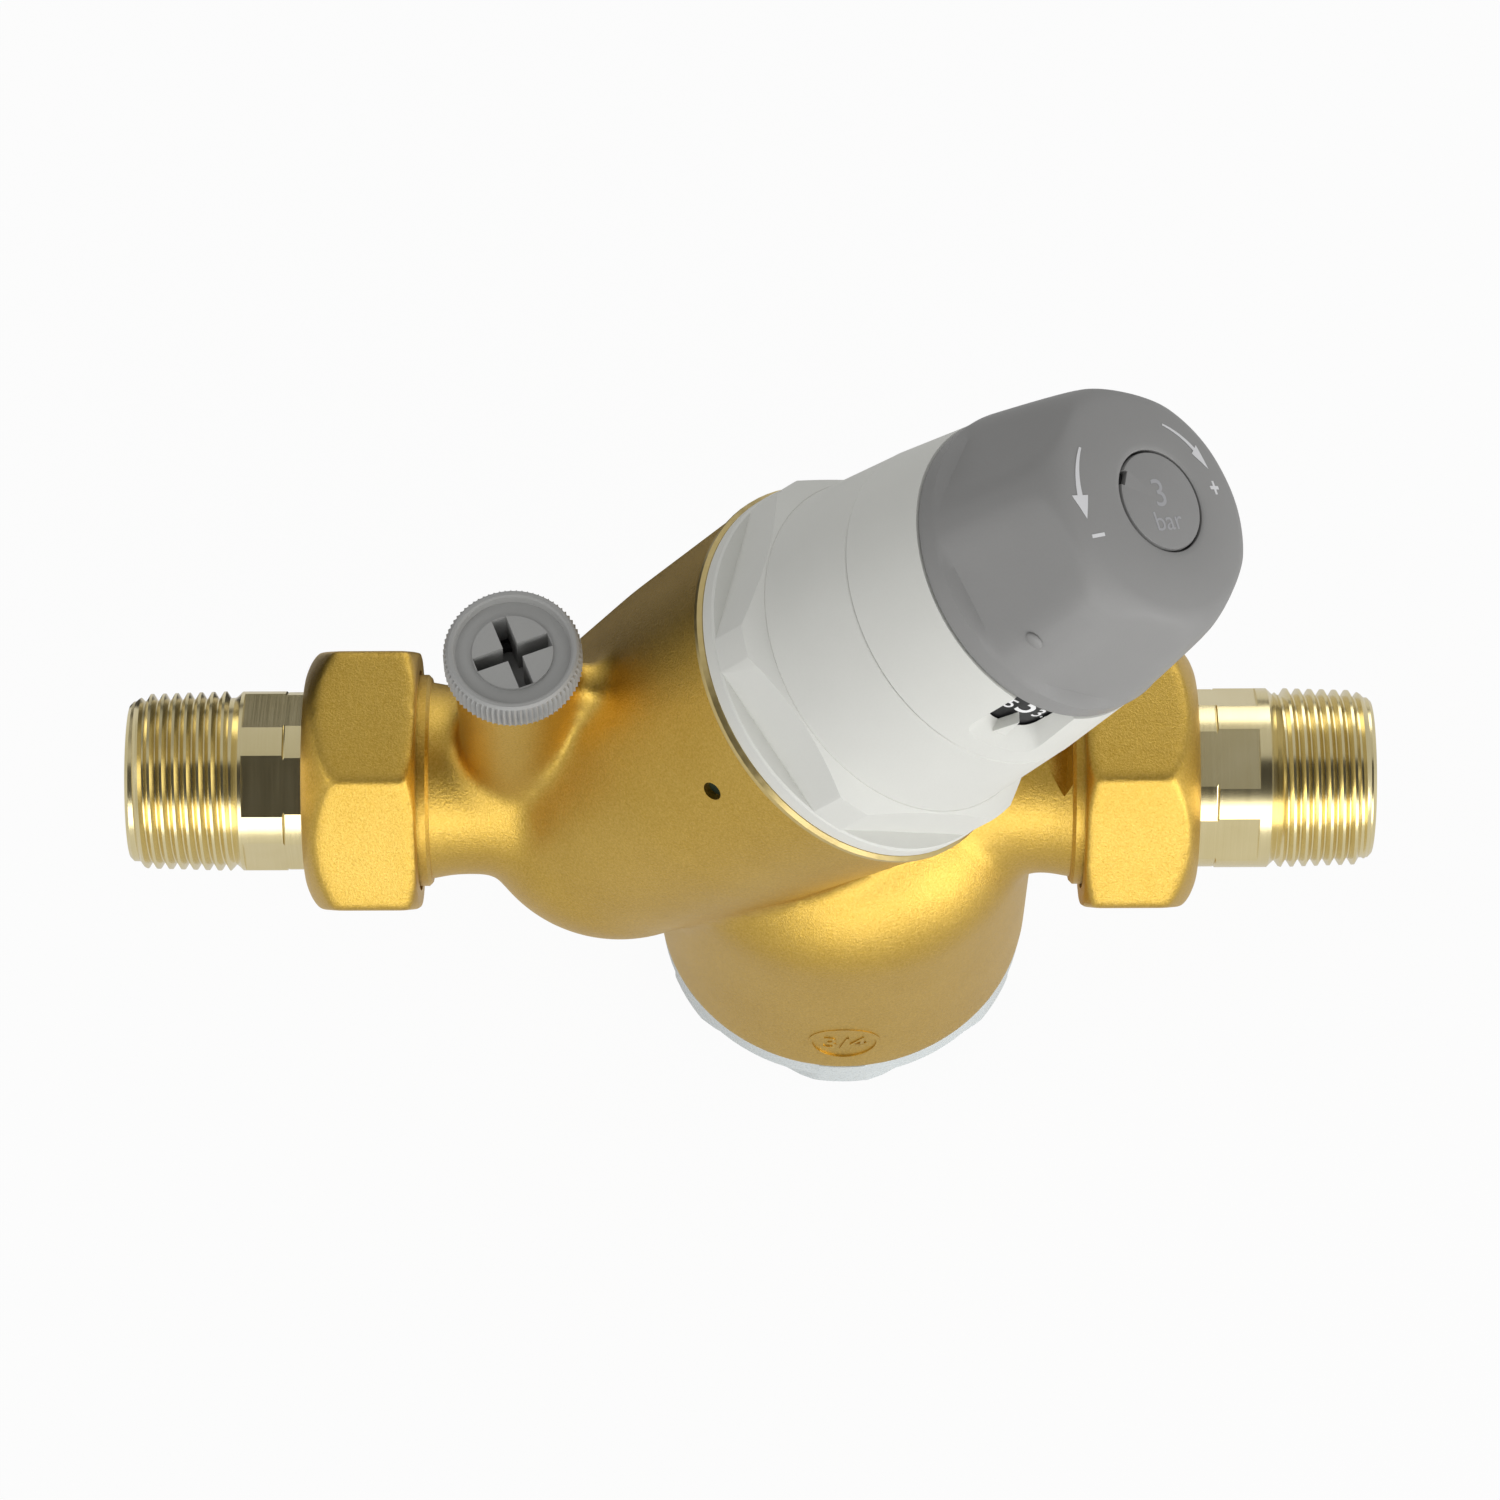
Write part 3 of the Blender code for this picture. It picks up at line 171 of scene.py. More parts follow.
def finish(name, **constants):
    """A new Principled material: its shader node, a Flow to start expressions from, and the material."""
    made = bpy.data.materials.new(name)
    made.use_nodes = True
    shader = made.node_tree.nodes["Principled BSDF"]
    for socket, value in constants.items():
        shader.inputs[socket.replace("_", " ")].default_value = value
    return made, shader, Flow(made.node_tree)


def noise(flow, size, detail=2.0, roughness=0.5):
    """Grain of about that size, in metres, fixed to the piece."""
    place = flow.node("ShaderNodeTexCoord", output=3)
    inputs = {"Vector": place, "Scale": 1 / size, "Detail": detail, "Roughness": roughness}
    return flow.node("ShaderNodeTexNoise", {}, inputs)


def feed(shader, socket, flow):
    flow.tree.links.new(flow.socket, shader.inputs[socket])


def bump(shader, height, strength, depth):
    """Raises the surface by a height from 0 to 1, over a depth in metres."""
    feed(shader, "Normal", height.node(
        "ShaderNodeBump", {}, {"Strength": strength, "Distance": depth, "Height": height}))


print("shader expressions ready")

# %% [markdown]
# Two brasses show. The forging and the nuts are sand blasted, so they have a satin gold skin with a fine
# grain, slow changes of tone and a few darker flecks. The tail pieces are turned, so they are paler and
# smoother and carry fine rings from the tool.

# %% Brass
GOLD_DEEP = (0.49, 0.30, 0.038, 1)
GOLD_PALE = (0.73, 0.50, 0.125, 1)
GOLD_FLECK = (0.30, 0.185, 0.035, 1)
FLECK_STOPS = ((0.69, (0, 0, 0, 1)), (0.80, (0.8, 0.8, 0.8, 1)))
TURNED_DEEP = (0.66, 0.54, 0.25, 1)
TURNED_PALE = (0.91, 0.81, 0.51, 1)


def blasted_brass():
    made, shader, flow = finish("blasted_brass", Metallic=1.0)
    blush = noise(flow, 14 * MM, 3.0)
    grain = noise(flow, 0.34 * MM, 4.0, 0.7)
    pits = noise(flow, 2.4 * MM, 2.0)
    speckle = (grain - 0.5) * 3.4 + 0.5
    gold = (blush * 0.45 + speckle * 0.55).mix(GOLD_DEEP, GOLD_PALE)
    flecks = flow.node("ShaderNodeValToRGB", {"stops": FLECK_STOPS}, {0: noise(flow, 3.2 * MM, 6.0, 0.75)})
    feed(shader, "Base Color", flecks.mix(gold, GOLD_FLECK))
    feed(shader, "Roughness", 0.30 + grain * 0.14)
    bump(shader, grain * 0.8 + pits * 0.5, 0.75, 0.14 * MM)
    return made


def turned_brass():
    made, shader, flow = finish("turned_brass", Metallic=1.0)
    place = flow.node("ShaderNodeTexCoord", output=3)
    stretch = flow.node("ShaderNodeMapping", {}, {"Vector": place, "Scale": (6000, 60, 60)})
    rings = flow.node("ShaderNodeTexNoise", {}, {"Vector": stretch, "Scale": 1.0, "Detail": 2.0})
    blush = noise(flow, 9 * MM)
    feed(shader, "Base Color", (rings * 0.4 + blush * 0.6).mix(TURNED_DEEP, TURNED_PALE))
    feed(shader, "Roughness", 0.17 + rings * 0.12)
    bump(shader, rings, 0.12, 0.03 * MM)
    return made


BLASTED = blasted_brass()
TURNED = turned_brass()
print("brasses:", BLASTED.name, TURNED.name)

# %% [markdown]
# The plastics are moulded with a faint spark-eroded texture: a pale warm grey bonnet and sleeve, a mid
# grey knob with its insert, a slightly lighter plug, a black scale drum and a near white strainer cap.
# One recipe serves all, with its own colours, grain and gloss.


# %% Plastics and the rest
def moulding(name, low, high, gloss, grain_size, relief):
    made, shader, flow = finish(name, IOR=1.48)
    cloud = noise(flow, 12 * MM, 2.0)
    grain = noise(flow, grain_size, 2.0, 0.6)
    feed(shader, "Base Color", (cloud * 0.6 + grain * 0.4).mix((*low, 1), (*high, 1)))
    feed(shader, "Roughness", gloss + grain * 0.12)
    bump(shader, grain, relief, 0.05 * MM)
    return made


def plain_metal(name, low, high, gloss):
    made, shader, flow = finish(name, Metallic=1.0)
    grain = noise(flow, 1.1 * MM, 3.0)
    feed(shader, "Base Color", grain.mix((*low, 1), (*high, 1)))
    feed(shader, "Roughness", gloss + grain * 0.15)
    return made


PALE = moulding("pale_moulding", (0.62, 0.622, 0.582), (0.69, 0.692, 0.652), 0.56, 0.35 * MM, 0.25)
KNOB_GREY = moulding("knob_grey", (0.236, 0.234, 0.229), (0.280, 0.278, 0.272), 0.50, 0.30 * MM, 0.35)
INSERT_GREY = moulding("insert_grey", (0.238, 0.236, 0.232), (0.278, 0.276, 0.271), 0.46, 0.40 * MM, 0.2)
PLUG_GREY = moulding("plug_grey", (0.31, 0.31, 0.30), (0.365, 0.365, 0.355), 0.45, 0.30 * MM, 0.3)
SCALE_BLACK = moulding("scale_black", (0.008, 0.008, 0.009), (0.016, 0.016, 0.017), 0.4, 0.40 * MM, 0.2)
CAP_WHITE = moulding("cap_white", (0.58, 0.625, 0.63), (0.62, 0.66, 0.665), 0.22, 0.60 * MM, 0.05)
PRINT = moulding("print_pale", (0.62, 0.62, 0.63), (0.72, 0.72, 0.73), 0.5, 0.20 * MM, 0.1)
FAINT_PRINT = moulding("print_faint", (0.33, 0.33, 0.345), (0.38, 0.38, 0.39), 0.5, 0.20 * MM, 0.1)
SCALE_PRINT = moulding("scale_print", (0.80, 0.80, 0.80), (0.88, 0.88, 0.88), 0.5, 0.20 * MM, 0.1)
VENT_DARK = moulding("vent_dark", (0.006, 0.022, 0.012), (0.012, 0.034, 0.020), 0.5, 0.30 * MM, 0.3)
SEAL_RUBBER = moulding("seal_rubber", (0.015, 0.015, 0.015), (0.03, 0.03, 0.03), 0.6, 0.30 * MM, 0.3)
FIBRE = moulding("pressed_fibre", (0.08, 0.19, 0.12), (0.13, 0.26, 0.17), 0.75, 0.50 * MM, 0.6)
STEEL = plain_metal("bright_steel", (0.50, 0.51, 0.52), (0.62, 0.63, 0.64), 0.22)
INNER_BRASS = plain_metal("inner_brass", (0.60, 0.46, 0.18), (0.72, 0.58, 0.28), 0.25)
print("materials:", len(bpy.data.materials))

# %% [markdown]
# Most pieces are lathe work: an outline spun round an axis. The outline is listed as radius and height,
# down the outside and back up the bore. Cuts and joins use the manifold Boolean, which is quick on dense
# closed meshes, and the result is taken as a plain mesh at once. Where edges are soft, as on a forging,
# one helper melts overlapping solids into a single skin.

# %% Lathe and Boolean helpers
FINE = 96
WELD = 0.001 * MM


def piece(name, bm, material, sharp=35):
    """A finished object from a bmesh, smooth shaded apart from edges sharper than an angle in degrees."""
    mesh = bpy.data.meshes.new(name)
    bm.to_mesh(mesh)
    bm.free()
    obj = bpy.data.objects.new(name, mesh)
    bpy.context.scene.collection.objects.link(obj)
    mesh.materials.append(material)
    mesh.shade_smooth()
    mesh.set_sharp_from_angle(angle=math.radians(sharp))
    return obj


def from_mm(points, base=0.0):
    """Outline points in metres from radii and heights in millimetres, the heights counted from a base."""
    return [(radius * MM, base + height * MM) for radius, height in points]


def lathe(outline, axis, steps=FINE):
    """A closed turned solid as a bmesh. An outline that doesn't reach the axis closes as a ring."""
    bm = bmesh.new()
    verts = [bm.verts.new((radius, 0, height)) for radius, height in outline]
    edges = [bm.edges.new(pair) for pair in zip(verts, verts[1:])]
    if outline[0][0] > 0 or outline[-1][0] > 0:
        edges.append(bm.edges.new((verts[-1], verts[0])))
    bmesh.ops.spin(
        bm, geom=verts + edges, cent=(0, 0, 0), axis=(0, 0, 1), angle=2 * math.pi, steps=steps, use_merge=True)
    bmesh.ops.remove_doubles(bm, verts=bm.verts, dist=WELD)
    bmesh.ops.recalc_face_normals(bm, faces=bm.faces)
    bm.transform(axis)
    return bm


def rod(radius, low, high, axis, steps=FINE):
    return lathe([(0, high), (radius, high), (radius, low), (0, low)], axis, steps)


def pipe_ring(outer, inner, low, high, axis, steps=FINE):
    return lathe([(outer, high), (outer, low), (inner, low), (inner, high)], axis, steps)


def slab(size, place):
    bm = bmesh.new()
    bmesh.ops.create_cube(bm, size=1, matrix=place @ Matrix.Diagonal((*size, 1)))
    return bm


def hexagon(across_flats, low, high, axis, turn):
    """A six sided bar with a flat facing the turn angle."""
    bm = bmesh.new()
    radius = across_flats / math.sqrt(3)
    bmesh.ops.create_cone(
        bm, cap_ends=True, segments=6, radius1=radius, radius2=radius, depth=high - low,
        matrix=axis @ Matrix.Translation((0, 0, (low + high) / 2)) @ Matrix.Rotation(turn, 4, "Z"))
    return bm


def boolean(base, operation, *tools):
    """base with each tool joined, cut or intersected in turn, all as bmeshes; returns a bmesh."""
    for tool in tools:
        pair = []
        for bm in (base, tool):
            mesh = bpy.data.meshes.new("workpiece")
            bm.to_mesh(mesh)
            bm.free()
            obj = bpy.data.objects.new("workpiece", mesh)
            bpy.context.scene.collection.objects.link(obj)
            pair.append(obj)
        step = pair[0].modifiers.new("cut", "BOOLEAN")
        step.operation = operation
        step.object = pair[1]
        step.solver = "MANIFOLD"
        base = evaluated(pair[0])
        for obj in pair:
            bpy.data.objects.remove(obj)
    return base


def merge(target, extra):
    """Adds one bmesh to another as a shell of its own."""
    mesh = bpy.data.meshes.new("extra")
    extra.to_mesh(mesh)
    extra.free()
    target.from_mesh(mesh)
    bpy.data.meshes.remove(mesh)


def evaluated(obj):
    """The mesh that an object's modifiers or curves make, as a bmesh."""
    graph = bpy.context.evaluated_depsgraph_get()
    mesh = bpy.data.meshes.new_from_object(obj.evaluated_get(graph))
    bm = bmesh.new()
    bm.from_mesh(mesh)
    bpy.data.meshes.remove(mesh)
    return bm


def melt(bm, voxel, rounds):
    """One skin over overlapping solids, with its creases smoothed away."""
    blank = piece("blank", bm, BLASTED)
    weld = blank.modifiers.new("weld", "REMESH")
    weld.mode = "VOXEL"
    weld.voxel_size = voxel
    skin = evaluated(blank)
    bpy.data.objects.remove(blank)
    for _ in range(rounds):
        bmesh.ops.smooth_vert(
            skin, verts=skin.verts, factor=0.5, use_axis_x=True, use_axis_y=True, use_axis_z=True)
    return skin


def soften(obj, width, segments, angle):
    """Rounds the piece's hard edges with a live Bevel."""
    step = obj.modifiers.new("edges", "BEVEL")
    step.width = width
    step.segments = segments
    step.limit_method = "ANGLE"
    step.angle_limit = math.radians(angle)
    return obj


def show(obj, body, slot, *nodes):
    """The piece rides on a body and stands for these nodes of the frame. The slot is not used."""
    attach(obj, body)
    if nodes:
        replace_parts(obj, *nodes)
    return obj


def arc(centre, radius, start, end, count, squash=1.0):
    """Outline points on a circle in (radius, height), between two angles in degrees above the equator."""
    points = []
    for i in range(count + 1):
        turn = math.radians(start + (end - start) * i / count)
        out = centre[0] + radius * math.cos(turn)
        points.append((max(0.0, out), centre[1] + squash * radius * math.sin(turn)))
    return points


print("lathe ready with", FINE, "steps")

# %% [markdown]
# The body is one hot forging, so its branches flow into each other through soft fillets. Modelling each
# fillet by hand would take long. Here the branches are plain solids that overlap, a voxel remesh welds
# them into one skin and rounds of smoothing melt the creases. The cartridge branch is a leaning cone with
# a round end, and a drafted web ties it to the gauge boss. Smoothing draws the skin in, so the stock is a
# little over size, and it runs past the machined faces, which are cut afterwards to stay crisp.

# %% Body forging
NECK_R = 14.0 * MM
NECK_TO = 57.0 * MM
FLARE_R = 14.9 * MM
FLARE_AT = (44.6 * MM, 47.6 * MM)
MOUTH_AT = 45.2 * MM
MOUTH_STOCK_R = 28.75 * MM
WAIST = (25.75 * MM, 18.0 * MM)
BASE_R = 21.8 * MM
BASE_AT = -8.3 * MM
BASE_LEAN = 2.1 * MM
STRAINER_R = 28.0 * MM
STRAINER_MOUTH = -43.2 * MM
BRANCH_STOCK_R = STRAINER_R + 0.2 * MM
DOME_STOCK_R = STRAINER_R + 0.8 * MM
DOME_AT = -8.0 * MM
DOME_HEIGHT = 22.0 * MM
BOSS_R = 8.7 * MM
BOSS_TOP = 38.0 * MM
WEB_TOP = 34.5 * MM
WEB_FOOT_WIDE = 20.0 * MM
WEB_TOP_WIDE = 5.0 * MM
SPARE = 2.5 * MM
VOXEL = 0.85 * MM
MELT_ROUNDS = 18
ARC_STEPS = 24

cone = lathe(
    [(0, MOUTH_AT + SPARE), (MOUTH_STOCK_R, MOUTH_AT + SPARE), WAIST,
     *arc((0, BASE_AT), BASE_R, 0, -90, ARC_STEPS)], Matrix.Identity(4))
for vert in cone.verts:
    vert.co.x -= BASE_LEAN * (MOUTH_AT - vert.co.z) / (MOUTH_AT - BASE_AT)
cone.transform(SETTING)
dome = lathe(
    [*arc((0, DOME_AT), DOME_STOCK_R, 90, 0, ARC_STEPS, DOME_HEIGHT / STRAINER_R),
     (BRANCH_STOCK_R, STRAINER_MOUTH - SPARE), (0, STRAINER_MOUTH - SPARE)], STRAINER)
neck = [(0, NECK_TO), (FLARE_R, NECK_TO), (FLARE_R, FLARE_AT[1]), (NECK_R, FLARE_AT[0])]
pipe = lathe(neck + [(radius, -height) for radius, height in reversed(neck)], INLET)
boss = rod(BOSS_R, 0, BOSS_TOP + SPARE, BOSS)
web = slab((SETTING_X - BOSS_X, 1, WEB_TOP), Matrix.Translation(((SETTING_X + BOSS_X) / 2, 0, WEB_TOP / 2)))
for vert in web.verts:
    wide = WEB_TOP_WIDE if vert.co.z > WEB_TOP / 2 else WEB_FOOT_WIDE
    vert.co.y = math.copysign(wide / 2, vert.co.y)
stock = bmesh.new()
for solid in (cone, dome, pipe, boss, web):
    merge(stock, solid)
forging = melt(stock, VOXEL, MELT_ROUNDS)
print("forging skin:", len(forging.faces), "faces")

# %% [markdown]
# Machining the forging: flat faces at the mouth, the strainer rim and the gauge boss, the gauge port, the
# water way through both necks, and the small vent hole below the bonnet with its dark filter. A bright
# turned rim shows between the mouth and the bonnet.

# %% Machined faces and holes
FACER_R = 40.0 * MM
BOSS_FACER_R = 14.0 * MM
FACER_DEPTH = 10.0 * MM
PORT_R = 6.2 * MM
PORT_DEPTH = 9.0 * MM
BORE_R = 9.6 * MM
BORE_TO = 70.0 * MM
OUTLET_BORE_FROM = 13.0 * MM
INLET_BORE_FROM = 25.5 * MM
VENT_AT = 35.5 * MM
VENT_TURN = math.radians(-132)
VENT_R = 1.45 * MM
VENT_DEPTH = 3.0 * MM
VENT_SURFACE = 28.1 * MM
VENT_STEPS = 24
FILTER_R = 1.1 * VENT_R
FILTER_TOP = VENT_SURFACE - 1.9 * MM
FILTER_FOOT = VENT_SURFACE - VENT_DEPTH - MM
RIM = ((28.0, 0.45), (28.2, 0.45), (28.7, -0.1), (28.7, -0.7), (28.1, -1.4), (22.0, -1.4), (22.0, 0.3),
       (28.0, 0.3))
vent_axis = (
    SETTING @ Matrix.Translation((0, 0, VENT_AT)) @ Matrix.Rotation(VENT_TURN, 4, "Z")
    @ Matrix.Rotation(math.pi / 2, 4, "Y"))
forging = boolean(
    forging, "DIFFERENCE",
    rod(FACER_R, MOUTH_AT, MOUTH_AT + FACER_DEPTH, SETTING),
    rod(FACER_R, STRAINER_MOUTH - FACER_DEPTH, STRAINER_MOUTH, STRAINER),
    rod(BOSS_FACER_R, BOSS_TOP, BOSS_TOP + FACER_DEPTH, BOSS),
    rod(PORT_R, BOSS_TOP - PORT_DEPTH, BOSS_TOP + SPARE, BOSS),
    rod(BORE_R, OUTLET_BORE_FROM, BORE_TO, OUTLET),
    rod(BORE_R, INLET_BORE_FROM, BORE_TO, INLET),
    rod(VENT_R, VENT_SURFACE - VENT_DEPTH, VENT_SURFACE + VENT_DEPTH, vent_axis, VENT_STEPS),
)
body = show(piece("forged_body", forging, BLASTED, 50), "valve", "cast_brass", "valve_body")
vent_filter = rod(FILTER_R, FILTER_FOOT, FILTER_TOP, vent_axis, VENT_STEPS)
show(piece("vent_filter", vent_filter, VENT_DARK), "valve", "black_plastic")
show(piece("mouth_rim", lathe(from_mm(RIM, MOUTH_AT), SETTING), INNER_BRASS), "valve", "turned_brass")
print("body:", len(body.data.polygons), "faces")

# %% [markdown]
# Each neck ends in a male thread that the union nut runs on. Only a narrow ring of it shows behind the
# nut, with the tool's relief cut beside it.

# %% Union threads on the body
BODY_THREAD_R = 15.7 * MM
BODY_THREAD_DEPTH = 0.8 * MM
BODY_THREAD_PITCH = 1.8 * MM
BODY_THREAD_FROM = 47.2 * MM
PLAIN_RING = ((15.7, 2.4), (15.7, 0.5), (15.2, 0), (9.6, 0))
BODY_END = 58.0 * MM
FIRST_CREST = BODY_END - 1.3 * MM
for side, axis in (("inlet", INLET), ("outlet", OUTLET)):
    root = BODY_THREAD_R - BODY_THREAD_DEPTH
    outline = [(root, BODY_END), (BODY_THREAD_R, BODY_END - BODY_THREAD_DEPTH)]
    for i in range(4):
        crest = FIRST_CREST - i * BODY_THREAD_PITCH
        outline += [(BODY_THREAD_R, crest), (root, crest - BODY_THREAD_PITCH / 2)]
    outline += [*from_mm(PLAIN_RING, BODY_THREAD_FROM), (BORE_R, BODY_END)]
    show(piece(f"{side}_body_thread", lathe(outline, axis), BLASTED), "valve", "cast_brass")
print("two body threads")

# %% [markdown]
# A tail piece is turned from bar: a bright barrel with six spanner flats, a collar that the union nut
# pulls on, and a tapered male pipe thread. The thread is a true helix: one V ridge is swept round the
# core with a spin that also climbs, and its height fades in and out at the ends.

# %% Tail pieces
TAIL_END = 92.0 * MM
TAIL_R = 13.3 * MM
TAIL_EDGE = 0.5 * MM
BARREL = ((13.3, 68.8), (13.08, 68.6), (13.18, 68.4), (13.18, 63.6), (15.4, 63.6), (15.4, 60.6), (10.0, 60.6),
          (10.0, 91.2), (10.6, 92.0))
FLAT_FROM, FLAT_TO, FLAT_OUT = 65.9 * MM, 74.8 * MM, 12.5 * MM
FLAT_CUT = 4.0 * MM
PITCH = 1.814 * MM
RIDGE = 1.08 * MM
RIDGE_SUNK = 0.45 * MM
RIDGE_HALF = 0.60 * PITCH
CREST_HALF = 0.11 * PITCH
CREST_BLUNT = 0.06 * MM
CREST_AT_END = 12.95 * MM
TAPER = 1 / 32
TURN_STEPS = 64
FADE_IN = 0.8 * PITCH
FADE_OUT = 1.3 * PITCH
TAIL_SIDES = (
    ("outlet", OUTLET, math.radians(-29.2), 75.8 * MM),
    ("inlet", INLET, math.radians(12.7), 77.0 * MM),
)


def helix_thread(axis, thread_from):
    """A closed V ridge that climbs along Z from the thread's start to its end."""
    bm = bmesh.new()
    foot = CREST_AT_END - RIDGE - RIDGE_SUNK
    crest = CREST_AT_END - CREST_BLUNT
    corners = ((foot, -RIDGE_HALF), (crest, -CREST_HALF), (crest, CREST_HALF), (foot, RIDGE_HALF))
    count = round((TAIL_END - thread_from) / PITCH * TURN_STEPS)
    start = bm.faces.new([bm.verts.new((radius, 0, thread_from + height)) for radius, height in corners])
    bmesh.ops.spin(
        bm, geom=[start], cent=(0, 0, 0), axis=(0, 0, 1), dvec=(0, 0, PITCH / TURN_STEPS),
        angle=2 * math.pi * count / TURN_STEPS, steps=count)
    bmesh.ops.recalc_face_normals(bm, faces=bm.faces)
    low, high = thread_from - 0.3 * MM, TAIL_END - 0.2 * MM
    for vert in bm.verts:
        radius = math.hypot(vert.co.x, vert.co.y)
        begun = max(0.0, (vert.co.z - thread_from) / FADE_IN)
        left = max(0.0, (TAIL_END - vert.co.z) / FADE_OUT)
        wanted = foot + (radius - foot) * min(1.0, begun, left) + (TAIL_END - vert.co.z) * TAPER
        vert.co.x *= wanted / radius
        vert.co.y *= wanted / radius
        vert.co.z = min(max(vert.co.z, low), high)
    bm.transform(axis)
    return bm


def tail_piece(side, axis, flat_turn, thread_from):
    root_end = CREST_AT_END - RIDGE
    root_start = root_end + (TAIL_END - thread_from) * TAPER
    core = lathe(
        [(root_end - TAIL_EDGE, TAIL_END), (root_end, TAIL_END - TAIL_EDGE),
         (root_start, thread_from + TAIL_EDGE), (TAIL_R - TAIL_EDGE, thread_from),
         (TAIL_R, thread_from - TAIL_EDGE), *from_mm(BARREL)], axis)
    middle = Matrix.Translation((FLAT_OUT + FLAT_CUT / 2, 0, (FLAT_FROM + FLAT_TO) / 2))
    for i in range(6):
        place = axis @ Matrix.Rotation(flat_turn + i * math.pi / 3, 4, "Z") @ middle
        core = boolean(core, "DIFFERENCE", slab((FLAT_CUT, 2 * TAIL_R, FLAT_TO - FLAT_FROM), place))
    merge(core, helix_thread(axis, thread_from))
    return show(piece(f"{side}_tail", core, TURNED, 11), "valve", "turned_brass", f"{side}_tailpiece")


for side, axis, flat_turn, thread_from in TAIL_SIDES:
    tail = tail_piece(side, axis, flat_turn, thread_from)
    print(tail.name, len(tail.data.polygons), "faces")

# %% [markdown]
# The union nuts are forged hexagons with a long cone at the outer end and a slight chamfer at the inner
# one. The cone is a lathe solid that the hexagon is intersected with. The edges are melted round, as
# forging and blasting leave them, and the hollow is cut last.

# %% Union nuts
NUT = (48.95 * MM, 65.95 * MM)
NUT_FLATS = 38.2 * MM
NUT_CORNER_R = NUT_FLATS / math.sqrt(3)
NUT_CONE = ((15.4, 0), (17.6, -0.9), (19.4, -2.2), (20.9, -3.6))
NUT_CONE_FOOT = NUT[1] - 5.0 * MM
NUT_CHAMFER = (2.6 * MM, 1.3 * MM)
NUT_BORE = 16.35 * MM
NUT_LIP_R = 13.6 * MM
NUT_LIP_AT = 63.9 * MM
NUT_VOXEL = 0.5 * MM
NUT_ROUNDS = 8
for side, axis, turn in (("outlet", OUTLET, math.radians(4.3)), ("inlet", INLET, math.radians(-4.3))):
    clear = NUT_CORNER_R + 0.1 * MM
    cone = lathe(
        [(0, NUT[1]), *from_mm(NUT_CONE, NUT[1]), (clear, NUT_CONE_FOOT), (clear, NUT[0] + NUT_CHAMFER[1]),
         (NUT_CORNER_R - NUT_CHAMFER[0], NUT[0]), (0, NUT[0])], axis)
    hollow = lathe(
        [(0, NUT[1] + MM), (NUT_LIP_R, NUT[1] + MM), (NUT_LIP_R, NUT_LIP_AT), (NUT_BORE, NUT_LIP_AT),
         (NUT_BORE, NUT[0] - MM), (0, NUT[0] - MM)], axis)
    nut = boolean(hexagon(NUT_FLATS, NUT[0], NUT[1], axis, turn), "INTERSECT", cone)
    nut = boolean(melt(nut, NUT_VOXEL, NUT_ROUNDS), "DIFFERENCE", hollow)
    show(piece(f"{side}_nut", nut, BLASTED, 50), f"{side}_nut", "cast_brass", f"{side}_union_nut")
print("two union nuts")

# %% [markdown]
# The bonnet is a pale moulding: a round flange, a hexagon for the spanner whose flats leave thin
# crescents of flange, a turned shoulder and a collar that tapers to the seam. The collar is a shell of
# its own, because a plain lathe shades more evenly than the faces that a Boolean leaves.

# %% Bonnet
FLANGE = ((0, 48.0), (27.85, 48.0), (28.15, 47.7), (28.15, 45.8), (27.85, 45.5), (20.6, 45.5), (20.6, 36.5),
          (0, 36.5))
FLANGE_TOP = 48.0 * MM
HEX_FROM, HEX_TOP, HEX_FLATS = 47.5 * MM, 56.0 * MM, 50.7 * MM
HEX_TURN = math.radians(44)
HEX_TRIM = ((0, 56.0), (25.15, 56.0), (27.95, 54.0), (27.95, 45.5), (0, 45.5))
COLLAR_R = 25.0 * MM
SEAM = (72.6 * MM, 23.85 * MM)
SEAM_GAP = 0.05 * MM
SEAM_EDGE = 0.2 * MM
SEAM_INNER_R = SEAM[1] - 0.15 * MM
SPRING_ROOM_R = 17.0 * MM
SPRING_ROOM = (30.0 * MM, 80.0 * MM)
SHELL_STEPS = 144
bonnet = hexagon(HEX_FLATS, HEX_FROM, HEX_TOP, SETTING, HEX_TURN)
bonnet = boolean(bonnet, "INTERSECT", lathe(from_mm(HEX_TRIM), SETTING))
bonnet = boolean(bonnet, "UNION", lathe(from_mm(FLANGE), SETTING))
bonnet = boolean(bonnet, "DIFFERENCE", rod(SPRING_ROOM_R, *SPRING_ROOM, SETTING))
merge(bonnet, lathe(
    [(SEAM_INNER_R, SEAM[0] - SEAM_GAP), (SEAM[1], SEAM[0] - SEAM_EDGE), (COLLAR_R, HEX_TOP),
     (COLLAR_R, FLANGE_TOP), (SPRING_ROOM_R, FLANGE_TOP), (SPRING_ROOM_R, SEAM[0] - SEAM_GAP)],
    SETTING, SHELL_STEPS))
bonnet = soften(piece("bonnet", bonnet, PALE, 30), 0.2 * MM, 2, 25)
show(bonnet, "valve", "white_plastic", "spring_bonnet")
print("bonnet:", len(bonnet.data.polygons), "faces")

# %% [markdown]
# The sleeve above the seam has a window on each side, where a wedge points at the scale. Each window is a
# notch that flares outwards on its sides and below, with rounded corners, so light reaches the figures.
# The tool is a cube whose inner face is pressed smaller, and the pointer is joined back in at its middle.

